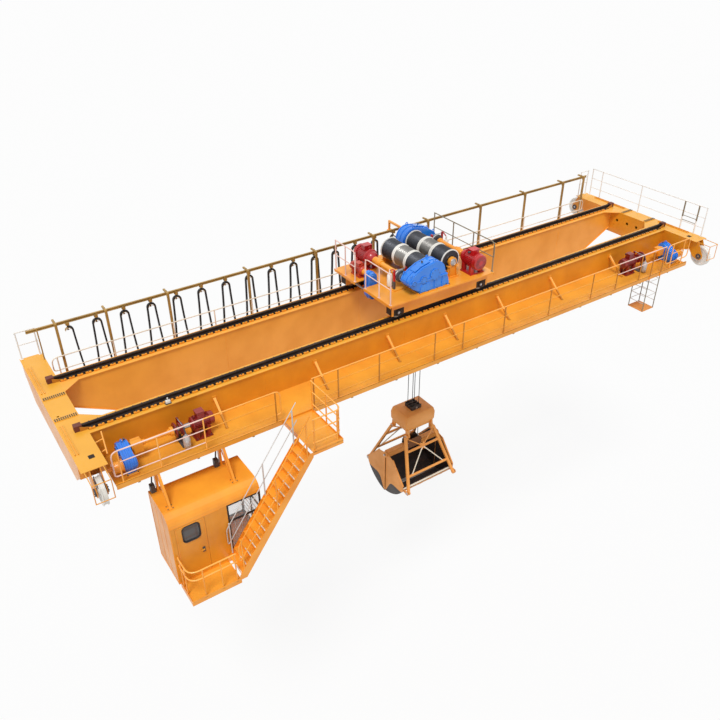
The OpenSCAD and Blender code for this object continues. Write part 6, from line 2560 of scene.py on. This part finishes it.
    def draw_block(self, blank: Blank) -> None:
        """The lower block: a beam with end pins, sheaves between cheeks, and guards.

        Args:
            blank: The piece that it is drawn on.
        """
        x, z = self.x, self.hinge_z
        for s in (-1, 1):
            blank.block((x - 1.15, s * 0.108, z - 0.105), (x + 1.15, s * 0.09, z + 0.105), 0)
            blank.prism([(x - 0.33, z - 0.05), (x + 0.33, z - 0.05), (x + 0.33, z + 0.24),
                         (x + 0.24, z + 0.33), (x - 0.24, z + 0.33), (x - 0.33, z + 0.24)], Axis.Y,
                        s * 0.16, s * 0.142, 1)
            blank.bolts([(x + dx, s * 0.16, z + dz) for dx in (-0.28, 0.28) for dz in (0.0, 0.2)],
                        Axis.Y, 0.03, 3, proud=s * 0.5)
        for z0, z1 in ((z - 0.108, z - 0.088), (z + 0.088, z + 0.108)):
            blank.block((x - 1.155, -0.108, z0), (x + 1.155, 0.108, z1), 0)
        for dx in (-0.8, -0.45, 0.45, 0.8):
            blank.block((x + dx - 0.01, -0.109, z - 0.088), (x + dx + 0.01, 0.109, z + 0.088), 0)
        for dx in (-0.2, 0.2):
            for y in (-0.1, 0.1):
                blank.turned([(-0.035, 0.16), (-0.02, 0.165), (0, 0.14), (0.02, 0.165), (0.035, 0.16)],
                             (x + dx, y, z + 0.13), Axis.Y, 2, 32)
        blank.block((x - 0.32, -0.149, z + 0.108), (x + 0.32, 0.149, z + 0.125), 4)
        for s in (-1, 1):
            blank.turned([(s * 1.14, 0.1), (s * 1.155, 0.1)], (x, 0, z), Axis.X, 1, 32)
            blank.turned([(s * 1.15, 0.0385), (s * 1.272, 0.0385), (s * 1.278, 0.033)], (x, 0, z),
                         Axis.X, 3, 28)

    def arc_points(self, r: float, steps: int = 20) -> list[Pair]:
        """Points of a shell's curve at a radius, from the lip out to the rim.

        Args:
            r: The radius.
            steps: How many steps the curve has.

        Returns:
            The points as places across the span and up.
        """
        (cy, cz), (a, b) = self.shell_c, self.arc
        return [(cy + r * math.cos(t), self.hinge_z + cz + r * math.sin(t))
                for t in (math.radians(a + (b - a) * i / steps) for i in range(steps + 1))]

    def draw_shell(self, blank: Blank, xo: float) -> None:
        """One shell on the rear side: side plates, curved bottom, lip, rim, ribs and ears.

        Args:
            blank: The piece that it is drawn on.
            xo: Half of the shell's width.
        """
        x, z, r = self.x, self.hinge_z, self.shell_r
        curve = self.arc_points(r - 0.006)
        corner = [(1.08, z - 0.8), (0.42, z - 0.01), (0.12, z + 0.06)]
        outline = [(0.004, z - 0.08), (0.004, z - 1.70), *curve, *corner]
        for s in (-1, 1):
            blank.prism(outline, Axis.X, x + s * xo, x + s * (xo - 0.02), 0)
            # dark wear plate along the curve, on both faces of the side plate
            outer = self.arc_points(r - 0.004)[:19]
            pad = [*outer, *[(p[0] - 0.42 * math.sin(math.pi * i / 18) * math.cos(lean),
                              p[1] - 0.42 * math.sin(math.pi * i / 18) * math.sin(lean)) for i,
                             p in reversed(list(enumerate(outer)))
                             for lean in (math.atan2(p[1] - z - self.shell_c[1],
                                                     p[0] - self.shell_c[0]),)][1:-1]]
            blank.prism(pad, Axis.X, x + s * (xo + 0.001), x + s * (xo - 0.021), 3)
            # round eye at the hinge with its boss ring
            blank.tube((s * (xo - 0.024), s * (xo + 0.002)), (0.048, 0.12), (x, 0, z), Axis.X, 0, 40)
            # edge strip on the side plate's rear slope
            strip = [(1.08, z - 0.8), (0.42, z - 0.01), (0.375, z - 0.055), (1.035, z - 0.85)]
            blank.prism(strip, Axis.X, x + s * (xo - 0.021), x + s * (xo - 0.05), 0)
        # curved bottom: outer skin painted, inner skin bare and dark
        inner = self.arc_points(r - 0.028)
        for skin, other, finish in ((curve, self.arc_points(r - 0.014), 0),
                                    (self.arc_points(r - 0.0145), inner, 1)):
            blank.prism([*skin, *reversed(other)], Axis.X, x - xo + 0.021, x + xo - 0.021, finish)
        for dx in (-0.75, -0.25, 0.25, 0.75):
            band = [*self.arc_points(r)[2:-2], *reversed(self.arc_points(r - 0.008)[2:-2])]
            blank.prism(band, Axis.X, x + dx - 0.03, x + dx + 0.03, 0)
        # inner face of the side plates, bare and dark, which also paints the shade inside the shell
        shaded = [(0.03, z - 0.3), (0.03, z - 1.66), *self.arc_points(r - 0.03), (1.04, z - 0.84),
                  (0.42, z - 0.12)]
        for s in (-1, 1):
            blank.prism(shaded, Axis.X, x + s * (xo - 0.0205), x + s * (xo - 0.026), 1)
        # lip along the meeting edge
        blank.prism([(0.004, z - 1.70), (0.004, z - 1.75), (0.06, z - 1.74), (0.088, z - 1.70)], Axis.X,
                    x - xo + 0.002, x + xo - 0.002, 2)
        # rim tube with an angle inside it
        turn = math.radians(self.arc[1])
        ry = self.shell_c[0] + (r - 0.06) * math.cos(turn)
        rz = z + self.shell_c[1] + (r - 0.06) * math.sin(turn)
        blank.bar([(x - xo + 0.02, ry, rz), (x + xo - 0.02, ry, rz)], 0.034, 4, 16)
        blank.block((x - xo + 0.021, ry - 0.09, rz - 0.012), (x + xo - 0.021, ry - 0.03, rz + 0.012), 1)
        # ears for the arms' low pins, with bosses and pins
        ax, ay, az = self.arm_low
        for s in (-1, 1):
            ear = [(ry - 0.02, rz), (ry + 0.04, rz + 0.03), (1.30, z - 0.95), (1.33, z - 1.02),
                   (1.30, z - 1.09), (1.23, z - 1.10), (1.01, z - 1.06)]
            blank.prism(ear, Axis.X, x + s * (ax + 0.06), x + s * (ax + 0.09), 0)
            blank.turned([(s * (ax + 0.058), 0.055), (s * (ax + 0.094), 0.055)], (x, ay, az), Axis.X, 5,
                         28)

    def arm_point(self, t: float, s: float) -> Vector:
        """A point on the arm: a share of the way down, and a share of the way across."""
        (ax, ay, az), (bx, by, bz) = self.arm_top, self.arm_low
        return Vector((self.x + s * (ax + t * (bx - ax)), ay + t * (by - ay), az + t * (bz - az)))

    def draw_arm(self, blank: Blank) -> None:
        """One arm on the rear side: flared bars, cross bars, the star brace, eyes and pins.

        Args:
            blank: The piece that it is drawn on.
        """
        (ax, ay, az), (bx, by, bz) = self.arm_top, self.arm_low
        for s in (-1, 1):
            blank.beam((self.x + s * (ax + 0.03), ay, az), (self.x + s * bx, by - 0.005, bz),
                       (0.055, 0.048), 0.04)
            for (cx, cy, cz), half in (((ax, ay, az), 0.03), ((bx, by, bz), 0.03)):
                c0, c1 = sorted((s * (cx - half), s * (cx + half)))
                blank.turned([(c0, 0.078), (c0 + 0.007, 0.084), (c1 - 0.007, 0.084), (c1, 0.078)],
                             (self.x, cy, cz), Axis.X, 0, 36)
            blank.turned([(s * (ax - 0.036), 0.039), (s * (ax + 0.038), 0.039)], (self.x, ay, az),
                         Axis.X, 1, 24)
            blank.turned([(s * (ax + 0.03), 0.055), (s * (ax + 0.04), 0.05)], (self.x, ay, az), Axis.X,
                         1, 6)
        for t in (0.28, 0.72):
            blank.bar([self.arm_point(t, -1), self.arm_point(t, 1)], 0.046, 0, 16)
        upper = self.arm_point(0.28, 0)
        for s in (-1, 1):
            blank.bar([upper, self.arm_point(0.72, s * 0.8)], 0.022, 2, 10)
            blank.bar([upper, self.arm_point(0.05, s * 0.93)], 0.02, 0, 10)
        # star gusset at the meeting of the braces
        run = (self.arm_point(1, 0) - self.arm_point(0, 0)).normalized()
        out = Vector((1, 0, 0)).cross(run)
        star = []
        for k in range(12):
            reach = (0.17, 0.09)[k % 2]
            turn = math.pi * k / 6
            star.append(Vector((1, 0, 0)) * reach * math.cos(turn) + run * reach * math.sin(turn))
        blank.skin([[upper + p + out * side for p in star] for side in (0.012, -0.012)], 0)
        for s in (-1, 1):
            foot = self.arm_point(0.72, s * 0.8)
            blank.bar([foot - run * 0.05, foot + run * 0.02], 0.03, 0, 10)


@dataclass
class Ropes(Bridge):
    """The hoist ropes down to the grab's head, and the closing ropes inside the grab."""

    x: float = 11.55
    radius: float = 0.012

    def build(self) -> None:
        """Hangs each rope between the bodies that it joins."""
        top, head, block = 1.22, -4.67, -6.17
        under = -4.931
        for i, (dx, y) in enumerate((a, b) for a in (-0.147, 0.147) for b in (-0.13, 0.13)):
            self.rope(f"hoist_rope_{i + 1}", (self.x + dx, y), (top, head), ("trolley", "grab_head"),
                      "hoist_ropes" if i == 0 else "")
        for i, (dx, y) in enumerate((a, b) for a in (-0.2, 0.2) for b in (-0.09, 0.09)):
            self.rope(f"closing_rope_{i + 1}", (self.x + dx, y), (under, block),
                      ("grab_head", "grab_block"), "closing_ropes" if i == 0 else "")

    def rope(self, name: str, place: Pair, levels: Pair, bodies: tuple[str, str],
             stands_for: str) -> None:
        """One rope, straight down from the first body's level to the second body's.

        Args:
            name: The piece's name.
            place: Where it hangs, along and across the span.
            levels: The heights of its two ends.
            bodies: The bodies that it joins, the upper one first.
            stands_for: The frame's node that it stands for, if any.
        """
        blank = Blank(name)
        steps = 24
        (x, y), (a, b) = place, levels
        blank.bar([(x, y, a + (b - a) * k / steps) for k in range(steps + 1)], self.radius, 0, 10)
        made = self.fitter.mesh(blank, [Stock.rope])
        self.fitter.stretch(made, bodies, ((x, y, a), (x, y, b)), "wire_rope", stands_for)


# ---- The whole crane ----


def plain(bounds: Any) -> Any:
    """Turns bounds into plain numbers and lists that JSON can hold.

    Args:
        bounds: What the frame gives.

    Returns:
        The same as plain values.
    """
    if isinstance(bounds, dict):
        return {key: plain(value) for key, value in bounds.items()}
    if isinstance(bounds, (str, bool, int, float)) or bounds is None:
        return bounds
    return [plain(value) for value in bounds]


# how far the grab goes down below its place at rest, so the floor lies below that
HOIST_REACH = 6.1

WORKSHOPS: tuple[type[Bridge], ...] = (Rails, Girders, Carriages, Walkways, Handrails, Landings, Cab,
                                       ServiceCage, TravelDrive, Festoon, Trolley, Drums, Grab, Ropes)


def main() -> None:
    """Loads the frame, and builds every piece."""
    logging.basicConfig(level=logging.INFO, format="%(message)s")
    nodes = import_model()["nodes"]
    sizes = {"cad": plain(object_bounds())}
    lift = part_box("front_girder")[1].z
    Studio().build(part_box("grab_shell_front")[0].z - HOIST_REACH)
    fitter = Fitter(lift)
    for part in WORKSHOPS:
        LOG.info("-- %s", part.__name__)
        part(fitter, nodes).build()
    sizes["scene"] = plain(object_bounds())


if __name__ == "__main__":
    main()
